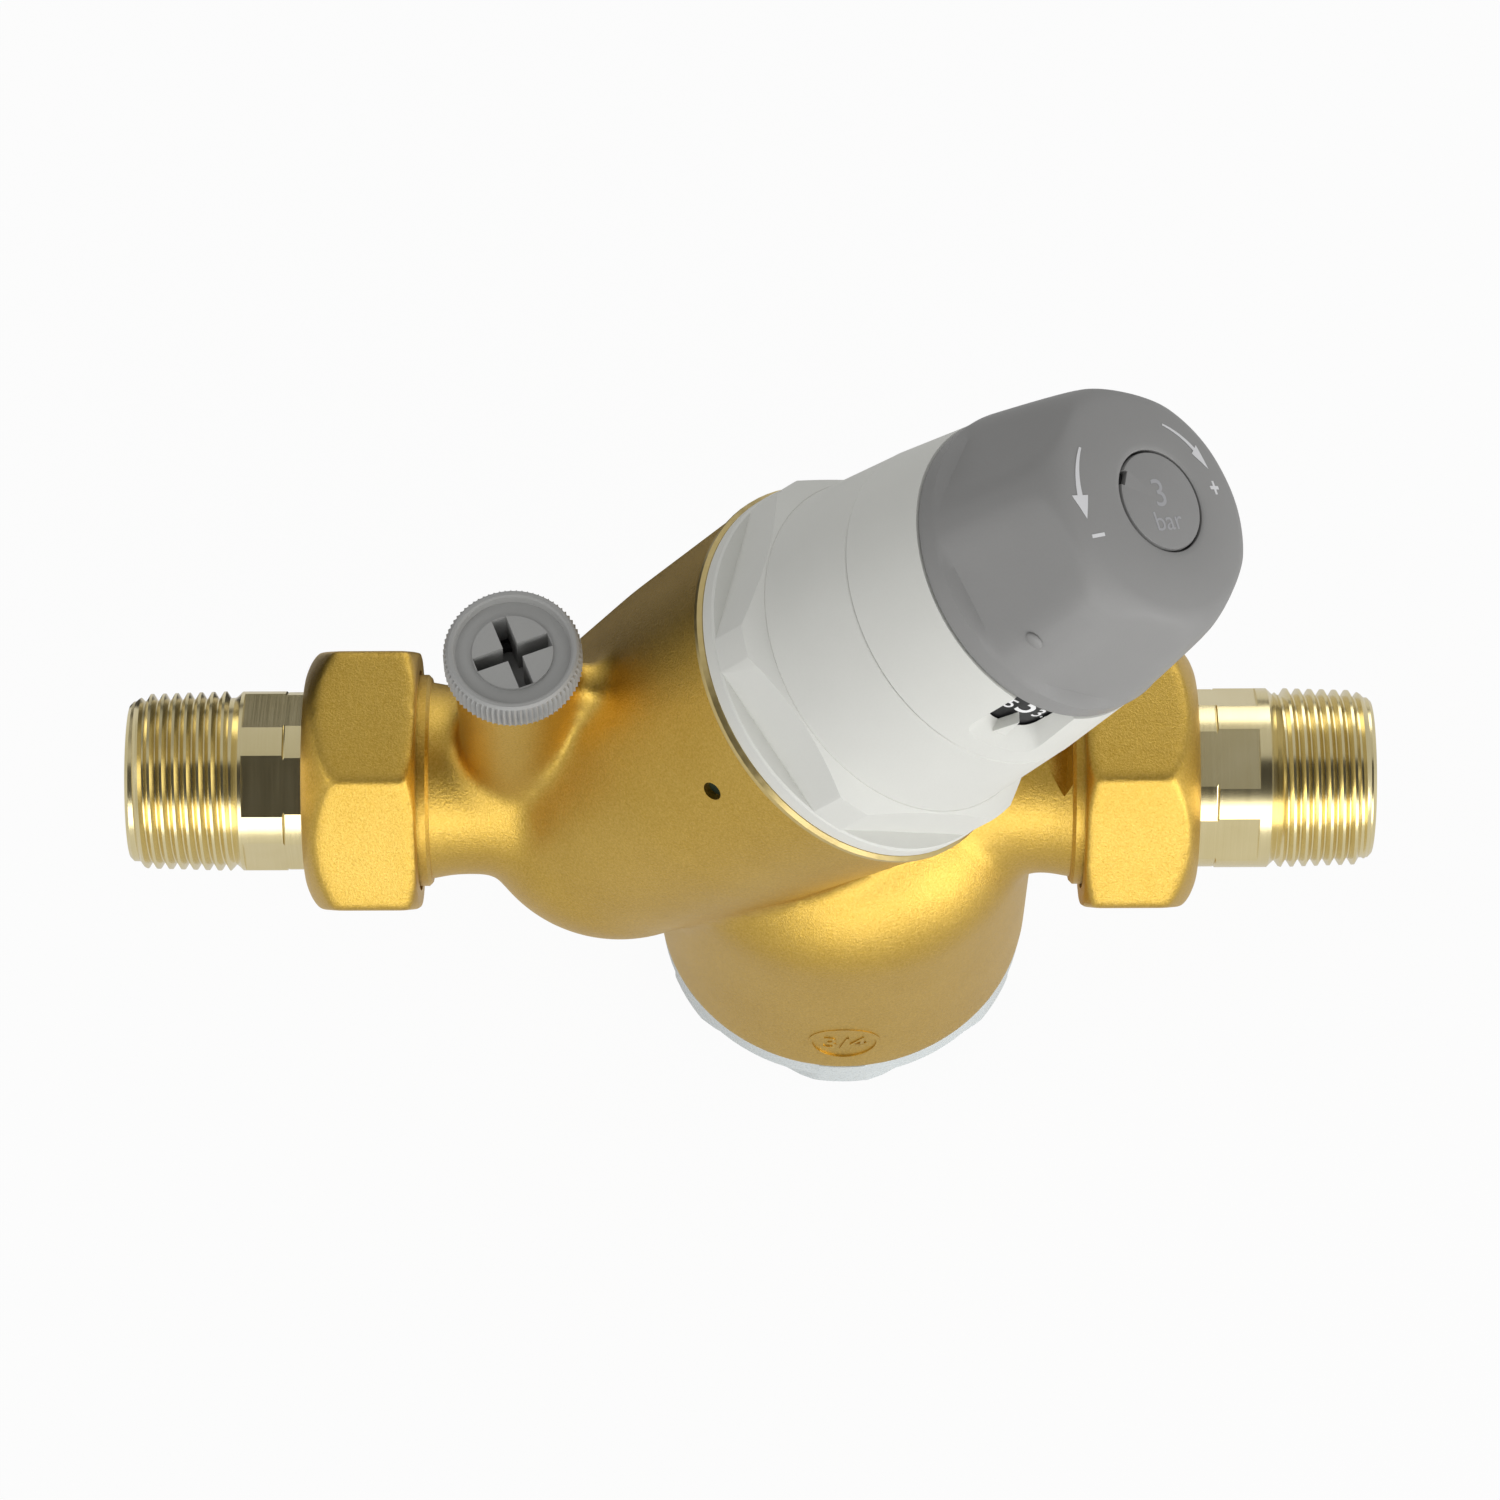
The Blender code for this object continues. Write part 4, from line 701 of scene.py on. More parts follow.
# %% Sleeve with its windows
SLEEVE_TOP = (86.2 * MM, 22.3 * MM)
SLEEVE_BORE = 20.4 * MM
SCREW_HOLE_R = 4.9 * MM
SLEEVE_FLOOR = (74.4 * MM, 77.0 * MM)
WINDOW_TURN = math.radians(-89.5)
NOTCH_NEAR = (19.4 * MM, 3.4 * MM, 78.5 * MM)
NOTCH_FAR = (25.0 * MM, 8.3 * MM, 74.7 * MM)
NOTCH_TOP = 90.0 * MM
NOTCH_ROUND = 1.5 * MM
POINTER_TURN = math.radians(-1.2)
POINTER = ((0, 81.3 * MM), (-1.15 * MM, 77.0 * MM), (1.15 * MM, 77.0 * MM))
POINTER_OUT = (20.35 * MM, 22.0 * MM)


def raise_faces(bm, geom, vec):
    """Extrudes flat faces along a vector into a closed solid."""
    raised = bmesh.ops.extrude_face_region(bm, geom=geom, use_keep_orig=True)
    lifted = [v for v in raised["geom"] if isinstance(v, bmesh.types.BMVert)]
    bmesh.ops.translate(bm, verts=lifted, vec=vec)
    bmesh.ops.recalc_face_normals(bm, faces=bm.faces)
    return bm


def notch_tool():
    """The flared notch, standing on the local X axis."""
    bm = bmesh.new()
    bmesh.ops.create_cube(bm, size=2)
    for vert in bm.verts:
        out, wide, low = NOTCH_NEAR if vert.co.x < 0 else NOTCH_FAR
        vert.co = (out, math.copysign(wide, vert.co.y), low if vert.co.z < 0 else NOTCH_TOP)
    corners = [e for e in bm.edges if all(v.co.z < NOTCH_TOP - MM for v in e.verts)
               and abs(e.verts[0].co.x - e.verts[1].co.x) > MM]
    bmesh.ops.bevel(bm, geom=corners, offset=NOTCH_ROUND, segments=5, profile=0.5, affect="EDGES", material=-1)
    return bm


def pointer_tool():
    """The three sided pointer in the notch."""
    bm = bmesh.new()
    bmesh.ops.create_circle(bm, cap_ends=True, segments=3, radius=1)
    for vert, corner in zip(bm.verts, POINTER):
        vert.co = (POINTER_OUT[0], *corner)
    return raise_faces(bm, bm.faces[:], (POINTER_OUT[1] - POINTER_OUT[0], 0, 0))


sleeve = lathe(
    [(SLEEVE_TOP[1], SLEEVE_TOP[0]), (SEAM[1], SEAM[0] + SEAM_EDGE), (SEAM_INNER_R, SEAM[0] + SEAM_GAP),
     (SPRING_ROOM_R, SEAM[0] + SEAM_GAP), (SPRING_ROOM_R, SLEEVE_FLOOR[0]), (SCREW_HOLE_R, SLEEVE_FLOOR[0]),
     (SCREW_HOLE_R, SLEEVE_FLOOR[1]), (SLEEVE_BORE, SLEEVE_FLOOR[1]), (SLEEVE_BORE, SLEEVE_TOP[0])],
    SETTING, SHELL_STEPS)
for turn in (WINDOW_TURN, WINDOW_TURN + math.pi):
    around = SETTING @ Matrix.Rotation(turn, 4, "Z")
    notch = notch_tool()
    notch.transform(around)
    pointer = pointer_tool()
    pointer.transform(around @ Matrix.Rotation(POINTER_TURN, 4, "Z"))
    sleeve = boolean(boolean(sleeve, "DIFFERENCE", notch), "UNION", pointer)
sleeve = soften(piece("sleeve", sleeve, PALE, 30), 0.14 * MM, 2, 28)
show(sleeve, "valve", "white_plastic", "indicator_sleeve")
print("sleeve:", len(sleeve.data.polygons), "faces")

# %% [markdown]
# The scale drum turns with the knob. Its figures run from 1 to 6 bar, the whole ones larger, and are
# flat text that is wrapped round the drum: the sideways place of each point becomes an angle.

# %% Scale drum and its figures
DRUM_R = 20.1 * MM
DRUM_WALL = 1.6 * MM
DRUM = (77.4 * MM, 89.4 * MM)
BAR_ANGLE = math.radians(21.6)
SET_BAR = 3.0
HALF_BARS = range(2, 13)
FIGURE_AT = 80.7 * MM
FIGURE_HEIGHT = {True: 4.9 * MM, False: 2.4 * MM}
FIGURE_DEPTH = 0.06 * MM
FIGURE_LIFT = 0.01 * MM
CAP_HEIGHT = 0.7
drum = pipe_ring(DRUM_R, DRUM_R - DRUM_WALL, *DRUM, SETTING)
show(piece("scale_drum_shell", drum, SCALE_BLACK), "knob", "black_plastic", "scale_drum")


def lettering(words, height, depth):
    """Text as a thin closed solid on the XY plane, centred, with that height of figure."""
    curve = bpy.data.curves.new("words", "FONT")
    curve.body = words
    curve.size = height / CAP_HEIGHT
    curve.align_x = "CENTER"
    curve.align_y = "CENTER"
    curve.resolution_u = 4
    obj = bpy.data.objects.new("words", curve)
    bpy.context.scene.collection.objects.link(obj)
    bm = evaluated(obj)
    bpy.data.objects.remove(obj)
    bmesh.ops.remove_doubles(bm, verts=bm.verts, dist=WELD)
    return thicken(bm, depth)


def thicken(bm, depth):
    return raise_faces(bm, bm.faces[:] + bm.edges[:] + bm.verts[:], (0, 0, depth))


def wrap(bm, radius, middle, height):
    """Lays a flat shape round the Z axis at a radius, an angle and a height."""
    for vert in bm.verts:
        turn = middle + vert.co.x / radius[0]
        out = radius[1] + vert.co.z
        vert.co = (out * math.cos(turn), out * math.sin(turn), height + vert.co.y)
    return bm


figures = bmesh.new()
for half_bar in HALF_BARS:
    value = half_bar / 2
    tall = FIGURE_HEIGHT[value == int(value)]
    middle = WINDOW_TURN + (value - SET_BAR) * BAR_ANGLE
    text = lettering(f"{value:g}", tall, FIGURE_DEPTH)
    merge(figures, wrap(text, (DRUM_R, DRUM_R + FIGURE_LIFT), middle, FIGURE_AT + tall / 2))
figures.transform(SETTING)
show(piece("scale_figures", figures, SCALE_PRINT), "knob", "white_plastic")
print("drum with", len(HALF_BARS), "figures")

# %% [markdown]
# The knob is a rounded cone with six finger flats that end in a ledge above the skirt. A lathe makes the
# cone, and then each point that stands outside one of the six tilted planes is drawn in to it, with a
# soft minimum so that the edges stay round, as on the moulding. A small bean on one ridge is the mark
# that the mould's gate leaves.

# %% Knob
KNOB_BASE = (86.5 * MM, 22.2 * MM)
KNOB_TOP = 111.7 * MM
FACE = (8.4 * MM, 14.1 * MM, 1.0 * MM)
BROW_R = 5.9 * MM
SHOULDER = (19.1 * MM, 105.6 * MM)
LEDGE_AT = 90.7 * MM
LEDGE_SOFT = 0.9 * MM
FLAT_R = 20.4 * MM
FLAT_TILT = math.radians(9.9)
FLAT_TURN = math.radians(35)
EDGE_SOFT = 0.4 * MM
OUTER_SKIN = (12.0 * MM, 17.6 * MM)
CAVITY = ((20.5, 89.9), (17.0, 89.9), (11.4, 105.5), (8.4, 105.5), (8.4, 88.0), (4.95, 88.0))
CROWN_STEPS = 7
SIDE_STEPS = 35
KNOB_STEPS = 192
BEAN_TURN = math.radians(-119)
BEAN_AT = (21.0 * MM, 0, 96.3 * MM)
BEAN_SHAPE = (0.5, 1.4, 1.0, 1)
INSERT_R = 7.2 * MM
INSERT_GAP = 0.32 * MM
INSERT_DEPTH = 2.0 * MM


def flat_limit(turn, height):
    """How far out the nearest finger flat lets the surface stand, at an angle and a height."""
    away = (turn - FLAT_TURN + math.pi / 6) % (math.pi / 3) - math.pi / 6
    reach = FLAT_R - (height - LEDGE_AT) * math.tan(FLAT_TILT)
    return reach / math.cos(away)


def soft_least(a, b, soft):
    """The smaller of two lengths, rounded off where they are close."""
    blend_share = max(0.0, 1.0 - abs(a - b) / (2 * soft))
    return min(a, b) - blend_share * blend_share * soft / 2


def crown_height(radius):
    """Height of the knob's face at a radius: flat in the middle, falling away towards the brow."""
    out = max(0.0, radius - FACE[0]) / (FACE[1] - FACE[0])
    return KNOB_TOP - FACE[2] * out ** 1.7


def knob_outline():
    """Down the outside of the knob from the insert's hole to the skirt, then back up the inside."""
    hole = INSERT_R + INSERT_GAP
    face = [(hole, KNOB_TOP - INSERT_DEPTH), (hole, KNOB_TOP - 0.2 * MM), (hole + 0.25 * MM, KNOB_TOP)]
    crown = []
    for i in range(CROWN_STEPS + 1):
        radius = FACE[0] + (FACE[1] - FACE[0]) * i / CROWN_STEPS
        crown.append((radius, crown_height(radius)))
    crown += arc((FACE[1] - 0.9 * MM, KNOB_TOP - FACE[2] - BROW_R), BROW_R, 76, 10, 14)
    side = []
    for i in range(SIDE_STEPS + 1):
        share = i / SIDE_STEPS
        side.append((SHOULDER[0] + (KNOB_BASE[1] - SHOULDER[0]) * min(1.0, share * 1.18) ** 0.9,
                     SHOULDER[1] + (KNOB_BASE[0] + 0.5 * MM - SHOULDER[1]) * share))
    skirt = [(KNOB_BASE[1] - 0.15 * MM, KNOB_BASE[0]), (CAVITY[0][0] * MM, KNOB_BASE[0]), *from_mm(CAVITY),
             (CAVITY[-1][0] * MM, KNOB_TOP - INSERT_DEPTH)]
    return face + crown + side + skirt


knob = lathe(knob_outline(), Matrix.Identity(4), KNOB_STEPS)
for vert in knob.verts:
    radius = math.hypot(vert.co.x, vert.co.y)
    skin = OUTER_SKIN[0] if vert.co.z > SHOULDER[1] - 0.1 * MM else OUTER_SKIN[1]
    if radius > skin and vert.co.z > LEDGE_AT - LEDGE_SOFT:
        turn = math.atan2(vert.co.y, vert.co.x)
        share = min(1.0, max(0.0, (vert.co.z - LEDGE_AT + LEDGE_SOFT) / LEDGE_SOFT))
        share = share * share * (3 - 2 * share)
        drawn = soft_least(radius, flat_limit(turn, max(vert.co.z, LEDGE_AT)), EDGE_SOFT)
        wanted = radius + (drawn - radius) * share
        vert.co.x *= wanted / radius
        vert.co.y *= wanted / radius
knob.transform(SETTING)
knob = show(piece("knob_shell", knob, KNOB_GREY, 40), "knob", "grey_plastic", "setting_knob")
bean = bmesh.new()
ridge = SETTING @ Matrix.Rotation(BEAN_TURN, 4, "Z")
bmesh.ops.create_uvsphere(
    bean, u_segments=20, v_segments=12, radius=MM,
    matrix=ridge @ Matrix.Translation(BEAN_AT) @ Matrix.Diagonal(BEAN_SHAPE))
show(piece("knob_mould_mark", bean, KNOB_GREY), "knob", "grey_plastic")
print("knob:", len(knob.data.polygons), "faces")

# %% [markdown]
# A round insert hides the knob's fixing screw. It has a soft edge and a small notch to pry it out by,
# and the set pressure is printed on it in a faint grey. Round it, two arrows with a minus and a plus are
# drawn flat and laid on the falling crown of the knob.

# %% Insert and prints
INSERT_EDGE = ((-0.5, 0.02), (-0.15, -0.1), (0, -0.45), (0, -1.7))
INSERT_MIDDLE = KNOB_TOP + 0.05 * MM
INSERT_FOOT = KNOB_TOP - 1.7 * MM
PRY_TURN = math.radians(168)
PRY_SIZE = (1.5 * MM, 2.4 * MM, 3.0 * MM)
SHADE_R = 1.0 * MM
SHADE = (KNOB_TOP - 1.65 * MM, KNOB_TOP - 0.9 * MM)
SHADE_OUT = 0.97 * INSERT_R
TEXT_TURN = math.radians(21.6)
WORDS = (("3", 4.0 * MM, 0.9 * MM), ("bar", 2.8 * MM, -3.1 * MM))
PRINT_DEPTH = 0.05 * MM
PRINT_LIFT = 0.03 * MM
MARK_LIFT = 0.02 * MM
ARROWS = ((163, 207, 14.2 * MM), (85, 41, 12.4 * MM))
ARROW_STEPS = 14
ARROW_HALF = 0.36 * MM
ARROW_TAIL = 0.45
HEAD_LENGTH = 3.4 * MM
HEAD_HALF = 1.15 * MM
SIGNS = ((1.9 * MM, math.radians(218), 13.7 * MM, False), (2.0 * MM, math.radians(28), 11.6 * MM, True))
SIGN_WIDE = 0.5 * MM
LONG_EDGE = 1.2 * MM

edge = [(INSERT_R + out * MM, KNOB_TOP + height * MM) for out, height in INSERT_EDGE]
insert = lathe([(0, INSERT_MIDDLE), *edge, (0, INSERT_FOOT)], Matrix.Identity(4))
pry = Matrix.Rotation(PRY_TURN, 4, "Z")
insert = boolean(insert, "DIFFERENCE", slab(PRY_SIZE, pry @ Matrix.Translation((INSERT_R, 0, KNOB_TOP))))
insert.transform(SETTING)
show(piece("knob_insert", insert, INSERT_GREY), "knob", "grey_plastic", "knob_cap_insert")
shade_place = SETTING @ Matrix.Translation((SHADE_OUT * math.cos(PRY_TURN), SHADE_OUT * math.sin(PRY_TURN), 0))
shade = rod(SHADE_R, *SHADE, shade_place, VENT_STEPS)
show(piece("insert_notch_shade", shade, SCALE_BLACK), "knob", "black_plastic")

words = bmesh.new()
for text, size, drop in WORDS:
    flat = lettering(text, size, PRINT_DEPTH)
    flat.transform(Matrix.Rotation(TEXT_TURN, 4, "Z") @ Matrix.Translation((0, drop, KNOB_TOP + PRINT_LIFT)))
    merge(words, flat)
words.transform(SETTING)
show(piece("insert_print", words, FAINT_PRINT), "knob", "grey_plastic")


def curved_arrow(start, end, ring_r):
    """An arrow along a ring between two angles in degrees, with its head at the second."""
    bm = bmesh.new()

    def point(radius, degrees):
        turn = math.radians(degrees)
        return bm.verts.new((radius * math.cos(turn), radius * math.sin(turn), 0))

    neck = end - math.copysign(math.degrees(HEAD_LENGTH / ring_r), end - start)
    inner, outer = [], []
    for i in range(ARROW_STEPS + 1):
        share = i / ARROW_STEPS
        wide = ARROW_HALF * (ARROW_TAIL + (1 - ARROW_TAIL) * share)
        inner.append(point(ring_r - wide, start + (neck - start) * share))
        outer.append(point(ring_r + wide, start + (neck - start) * share))
    for corners in zip(inner, inner[1:], outer[1:], outer):
        bm.faces.new(corners)
    barbs = [point(ring_r - HEAD_HALF, neck), point(ring_r + HEAD_HALF, neck)]
    bm.faces.new((barbs[0], inner[-1], outer[-1], barbs[1], point(ring_r, end)))
    return thicken(bm, PRINT_DEPTH)


def sign(size, turn, radius, crossed):
    """A minus, or a plus, as bars that lie along the words."""
    bm = slab((size, SIGN_WIDE, PRINT_DEPTH), Matrix.Identity(4))
    if crossed:
        bm = boolean(bm, "UNION", slab((SIGN_WIDE, size, PRINT_DEPTH), Matrix.Identity(4)))
    at = Matrix.Translation((radius * math.cos(turn), radius * math.sin(turn), 0))
    bm.transform(at @ Matrix.Rotation(TEXT_TURN, 4, "Z"))
    return bm


marks = bmesh.new()
for arrow in ARROWS:
    merge(marks, curved_arrow(*arrow))
for bars in SIGNS:
    merge(marks, sign(*bars))
bmesh.ops.subdivide_edges(marks, edges=[e for e in marks.edges if e.calc_length() > LONG_EDGE], cuts=1)
for vert in marks.verts:
    vert.co.z += crown_height(math.hypot(vert.co.x, vert.co.y)) + MARK_LIFT
marks.transform(SETTING)
show(piece("knob_marks", marks, PRINT), "knob", "white_plastic")
print("insert, prints and arrows")

# %% [markdown]
# The gauge port is closed by a grey plug with a finely knurled edge, a sunk face with a raised disc and
# a cross slot for a screwdriver or a coin. The knurl comes from drawing the edge in by a cosine of the
# angle, with four points to a rib.

# %% Gauge plug
PLUG_FOOT, PLUG_TOP, PLUG_R = 38.3 * MM, 43.4 * MM, 9.95 * MM
PLUG_FACE = ((0, -0.9), (5.8, -0.9), (5.9, -1.3), (8.2, -1.3), (8.45, -0.25), (8.75, 0), (9.2, 0), (9.55, -0.4),
             (9.95, -0.9), (9.95, -2.8))
PLUG_EDGE = 0.4 * MM
SHANK_R = PORT_R - 0.05 * MM
SHANK_FOOT = BOSS_TOP - 8.9 * MM
RIBS = 76
RIB_DEPTH = 0.055
SLOT = (11.4 * MM, 2.2 * MM, 16.0 * MM)
SLOT_AT = PLUG_TOP - 1.0 * MM
SLOT_TURNS = (math.radians(21), math.radians(111))
plug = lathe(
    [*from_mm(PLUG_FACE, PLUG_TOP), (PLUG_R, PLUG_FOOT + PLUG_EDGE), (PLUG_R - PLUG_EDGE, PLUG_FOOT),
     (SHANK_R, PLUG_FOOT), (SHANK_R, SHANK_FOOT), (0, SHANK_FOOT)], Matrix.Identity(4), RIBS * 4)
for vert in plug.verts:
    if math.hypot(vert.co.x, vert.co.y) > PLUG_R - 0.05 * MM:
        turn = math.atan2(vert.co.y, vert.co.x)
        shrink = 1 - RIB_DEPTH * (0.5 + 0.5 * math.cos(RIBS * turn))
        vert.co.x *= shrink
        vert.co.y *= shrink
for turn in SLOT_TURNS:
    slot_place = Matrix.Translation((0, 0, SLOT_AT)) @ Matrix.Rotation(turn, 4, "Z")
    plug = boolean(plug, "DIFFERENCE", slab(SLOT, slot_place))
plug.transform(BOSS)
plug = show(piece("gauge_plug_head", plug, PLUG_GREY, 32), "valve", "grey_plastic", "gauge_plug")
print("plug:", len(plug.data.polygons), "faces")

# %% [markdown]
# The strainer cap is a smooth pale moulding below the rim: a round flange with a hexagon under it. Only
# its edges show from above, so they get a chamfer and rounded corners. A cup inside holds the screen.

# %% Strainer cap
CAP_TOP, CAP_FOOT, CAP_FLATS = -43.5 * MM, -51.3 * MM, 51.4 * MM
CAP_TURN = math.radians(-0.5)
CAP_OVERLAP = 0.4 * MM
CAP_TRIM = ((27.6, 1.0), (26.8, 0), (0, 0))
CAP_TRIM_R = 28.0 * MM
CAP_FLANGE = ((0, 0), (27.5, 0), (27.8, -0.3), (27.8, -3.8), (27.2, -4.4), (0, -4.4))
CUP_TOP, CUP_R, CUP_INNER_R = -31.6 * MM, 21.8 * MM, 19.4 * MM
CUP_STEP = CAP_TOP - MM
DISH = ((20.6, -51.5), (17.6, -52.8), (0, -53.1))
CUP_FLOOR = -50.4 * MM
trim = lathe([(0, CAP_TOP), (CAP_TRIM_R, CAP_TOP), *from_mm(CAP_TRIM, CAP_FOOT)], STRAINER)
cap = boolean(hexagon(CAP_FLATS, CAP_FOOT, CAP_TOP - CAP_OVERLAP, STRAINER, CAP_TURN), "INTERSECT", trim)
cup = lathe(
    [(0, CUP_TOP), (CUP_R, CUP_TOP), (CUP_R, CUP_STEP), (DISH[0][0] * MM, CUP_STEP), *from_mm(DISH)], STRAINER)
cap = boolean(cap, "UNION", lathe(from_mm(CAP_FLANGE, CAP_TOP), STRAINER), cup)
cap = boolean(cap, "DIFFERENCE", rod(CUP_INNER_R, CUP_FLOOR, CUP_TOP + 1.6 * MM, STRAINER))
cap = soften(piece("strainer_cap_shell", cap, CAP_WHITE, 30), 0.5 * MM, 3, 25)
show(cap, "valve", "frosted_plastic", "strainer_cap")
print("cap:", len(cap.data.polygons), "faces")

# %% [markdown]
# The forging carries its pipe size as a raised mark on the strainer branch: a thin ring with 3/4 in it.
# It is wrapped round the branch as the scale figures are round the drum.

# %% Size mark
MARK_AT = -33.7 * MM
MARK_HEIGHT = 3.8 * MM
MARK_DEPTH = 0.8 * MM
MARK_SUNK = 0.30 * MM
MARK_RING = (5.4 * MM, 4.8 * MM)
mark = lettering("3/4", MARK_HEIGHT, MARK_DEPTH)
merge(mark, pipe_ring(*MARK_RING, 0, MARK_DEPTH, Matrix.Identity(4), 64))
wrap(mark, (STRAINER_R, STRAINER_R - MARK_SUNK), -math.pi / 2, MARK_AT)
mark.transform(STRAINER)
show(piece("size_mark", mark, BLASTED), "valve", "cast_brass")
print("size mark raised")

# %% [markdown]
# The inner pieces are out of sight when the valve is whole. Most keep their CAD solids, each with a finish
# of its own kind.

# %% Inner pieces
INNER = {
    SEAL_RUBBER: ("gauge_plug_o_ring", "cartridge_upper_o_ring", "cartridge_lower_o_ring",
                  "strainer_cap_o_ring", "obturator_pad"),
    FIBRE: ("inlet_union_gasket", "outlet_union_gasket"),
    STEEL: ("valve_seat", "thrust_washer", "strainer_screen", "knob_screw", "stem_nut"),
    INNER_BRASS: ("diaphragm_clamp_ring", "setting_screw", "spring_plate", "valve_stem", "diaphragm_disc",
                  "lower_spring_seat"),
    PLUG_GREY: ("cartridge_cage", "strainer_base_ring", "strainer_top_ring"),
}
for material, names in INNER.items():
    for name in names:
        node = frame["nodes"][name]
        node.data.materials.clear()
        node.data.materials.append(material)
print("inner pieces:", sum(len(names) for names in INNER.values()))

# %% [markdown]
# Two inner pieces give as the valve works: the setting spring, pressed from both ends, and the diaphragm,
# clamped at its rim round the stem. Here they are only cut up: the spring's CAD solid at mid height into two
# halves, and the diaphragm into equal sectors that meet at their sides.

# %% Spring and diaphragm
SECTORS = 12
SECTOR_HALF = math.pi / SECTORS
ROLL = (14.1 * MM, 15.9 * MM)


def cut_solid(node, *planes):
    """A CAD solid upright on the setting axis, without what lies beyond each plane (point, way out)."""
    solid = bmesh.new()
    solid.from_mesh(node.data)
    solid.transform(SETTING.inverted() @ node.matrix_world)
    bmesh.ops.remove_doubles(solid, verts=solid.verts, dist=WELD)
    for point, outwards in planes:
        whole = solid.verts[:] + solid.edges[:] + solid.faces[:]
        bmesh.ops.bisect_plane(
            solid, geom=whole, dist=WELD, plane_co=point, plane_no=outwards, clear_outer=True)
        bmesh.ops.holes_fill(solid, edges=[edge for edge in solid.edges if edge.is_boundary])
    bmesh.ops.recalc_face_normals(solid, faces=solid.faces)
    return solid


def bend(name, solid, material, node, bodies, start, end):
    """A piece laid on the setting axis, from a solid upright in that axis's frame, that stands for a node of
    the frame. The bodies and the two points are not used.
    """
    solid.transform(SETTING)
    made = piece(name, solid, material)
    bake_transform(made)
    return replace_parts(made, node)


spring = frame["nodes"]["setting_spring"]
heights = [(SETTING.inverted() @ spring.matrix_world @ vert.co).z for vert in spring.data.vertices]
low, high = min(heights), max(heights)
waist = (0, 0, (low + high) / 2)
for name, body, end, way in (("lower", "stem", low, 1), ("upper", "follower", high, -1)):
    half = cut_solid(spring, (waist, (0, 0, way)))
    bend(f"spring_{name}_half", half, STEEL, "setting_spring", ("valve", body), waist, (0, 0, end))
for i in range(SECTORS):
    middle = 2 * i * SECTOR_HALF
    sides = []
    for way in (1, -1):
        turn = middle + way * SECTOR_HALF
        sides.append(((0, 0, 0), (-way * math.sin(turn), way * math.cos(turn), 0)))
    sector = cut_solid(frame["nodes"]["diaphragm"], *sides)
    out = Vector((math.cos(middle), math.sin(middle), 0))
    ends = (out * ROLL[0], out * ROLL[1])
    bend(f"diaphragm_sector_{i}", sector, SEAL_RUBBER, "diaphragm", ("stem", "valve"), *ends)
print("spring in two halves, diaphragm in", SECTORS, "sectors")

# %% [markdown]
# The studio is a pale floor under a white surround, with four soft lamps round the valve. The floor and
# the surround are white to the camera, and dimmer as light and in reflections, so the object is not washed
# out. Four dark cards are seen only in reflections: one behind the camera gives the brass its darker
# middle, and the others darken the body's upper left and the upper flats.

# %% Studio
LIGHT_LEVEL = 0.42
GLOSS_LEVEL = 0.55
FLOOR_GLOW = 0.95
FLOOR_MIRRORED = 0.42
FLOOR_GREY = (0.62, 0.62, 0.62, 1)
FLOOR_SIZE = 6.0
FLOOR_AT = cad_box[0][2] - 4 * MM
WHITE = (1, 1, 1, 1)
CARD_BLACK = (0.012, 0.010, 0.008, 1)
LAMPS = (
    ("left_lamp", (-0.9, -0.25, 0.75), 0.7, 2.6, 1.0),
    ("front_lamp", (0.05, -1.1, 0.22), 0.8, 6.0, 0.5),
    ("right_lamp", (0.9, -0.6, 0.25), 0.6, 5.5, 0.6),
    ("back_lamp", (0.4, 1.0, 0.5), 0.6, 2.5, 1.0),
)
FACE_CAMERA = Matrix.Rotation(math.pi / 2 - VIEW_HEIGHT, 4, "X")
FACE_FRONT = Matrix.Rotation(math.pi / 2, 4, "X")
FACE_SIDE = Matrix.Rotation(math.radians(5.7), 4, "Z") @ Matrix.Rotation(math.pi / 2, 4, "Y")
CARDS = (
    ("camera_card", 1.15, -towards * 1.25, FACE_CAMERA, (1, 1, 1, 1)),
    ("back_flag", 0.13, (-0.038, 0.085, cad_box[0][2] - 2 * MM), Matrix.Identity(4), (0.5, 1, 1, 1)),
    ("left_flag", 0.44, (-0.118, 0.235, 12 * MM), FACE_SIDE, (0.31, 1, 1, 1)),
    ("back_card", 0.6, (-0.1, 0.8, 0.03), FACE_FRONT, (1, 0.25, 1, 1)),
)
scene = bpy.context.scene
scene.view_settings.view_transform = "Standard"


def ray_kinds(tree):
    """Flows that are 1 for camera, mirrored and transmitted rays."""
    path = tree.nodes.new("ShaderNodeLightPath")
    kinds = ("Is Camera Ray", "Is Glossy Ray", "Is Transmission Ray")
    return [Flow(tree, path.outputs[kind]) for kind in kinds]


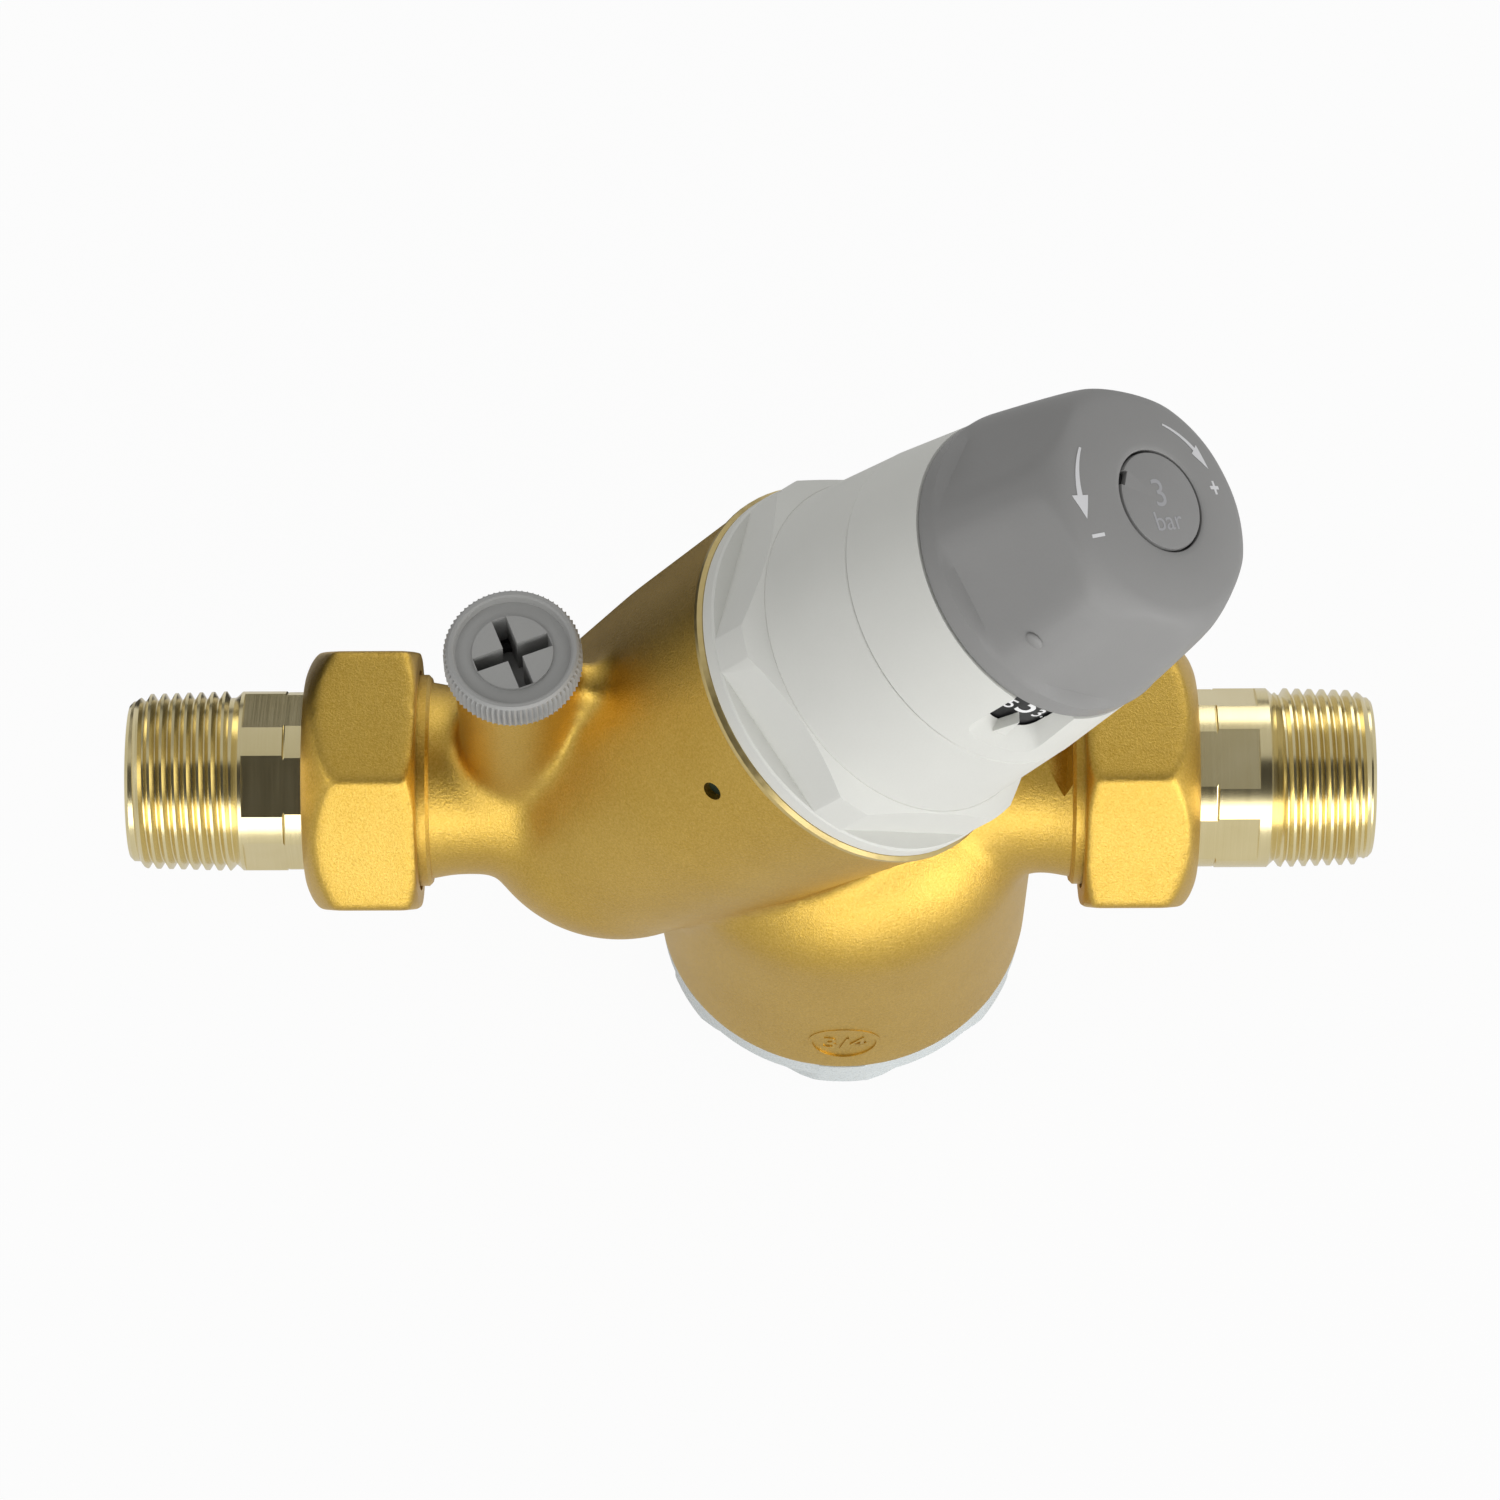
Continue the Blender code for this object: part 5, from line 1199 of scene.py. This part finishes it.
def lamp(name, place, size, watts, mirrored):
    """A square soft lamp that faces the valve, with a share of it seen in reflections."""
    light = bpy.data.lights.new(name, "AREA")
    light.shape = "SQUARE"
    light.size = size
    light.energy = watts
    light.specular_factor = mirrored
    obj = bpy.data.objects.new(name, light)
    scene.collection.objects.link(obj)
    obj.location = place
    obj.rotation_euler = (-Vector(place)).to_track_quat("-Z", "Y").to_euler()


def stage_plane(name, size, place, material):
    bm = bmesh.new()
    bmesh.ops.create_grid(bm, x_segments=1, y_segments=1, size=size / 2, matrix=place)
    mesh = bpy.data.meshes.new(name)
    bm.to_mesh(mesh)
    bm.free()
    mesh.materials.append(material)
    obj = bpy.data.objects.new(name, mesh)
    scene.collection.objects.link(obj)
    return obj


world = bpy.data.worlds.new("studio")
scene.world = world
world.use_nodes = True
surround = world.node_tree.nodes["Background"]
surround.inputs["Color"].default_value = WHITE
camera_ray, glossy_ray, clear_ray = ray_kinds(world.node_tree)
level = LIGHT_LEVEL + (camera_ray + clear_ray) * (1 - LIGHT_LEVEL) + glossy_ray * (GLOSS_LEVEL - LIGHT_LEVEL)
feed(surround, "Strength", level)
for values in LAMPS:
    lamp(*values)

pale = bpy.data.materials.new("pale_floor")
pale.use_nodes = True
camera_ray, glossy_ray, clear_ray = ray_kinds(pale.node_tree)
matt = camera_ray.node("ShaderNodeBsdfDiffuse", {}, {"Color": FLOOR_GREY})
glow = camera_ray.node("ShaderNodeEmission", {}, {"Color": WHITE, "Strength": 1.0})
share = camera_ray * FLOOR_GLOW + (glossy_ray + clear_ray) * FLOOR_MIRRORED
mixed = camera_ray.node("ShaderNodeMixShader", {}, {0: share, 1: matt, 2: glow})
feed(pale.node_tree.nodes["Material Output"], "Surface", mixed)
stage_plane("floor", FLOOR_SIZE, Matrix.Translation((0, 0, FLOOR_AT)), pale)

dark = finish("card_dark", Base_Color=CARD_BLACK)[0]
for name, size, place, turn, stretch in CARDS:
    card = stage_plane(name, size, Matrix.Translation(place) @ turn @ Matrix.Diagonal(stretch), dark)
    card.visible_camera = False
    card.visible_diffuse = False
    card.visible_shadow = False
    card.visible_transmission = False
print("studio:", len(LAMPS), "lamps, a floor and", len(CARDS), "dark cards")
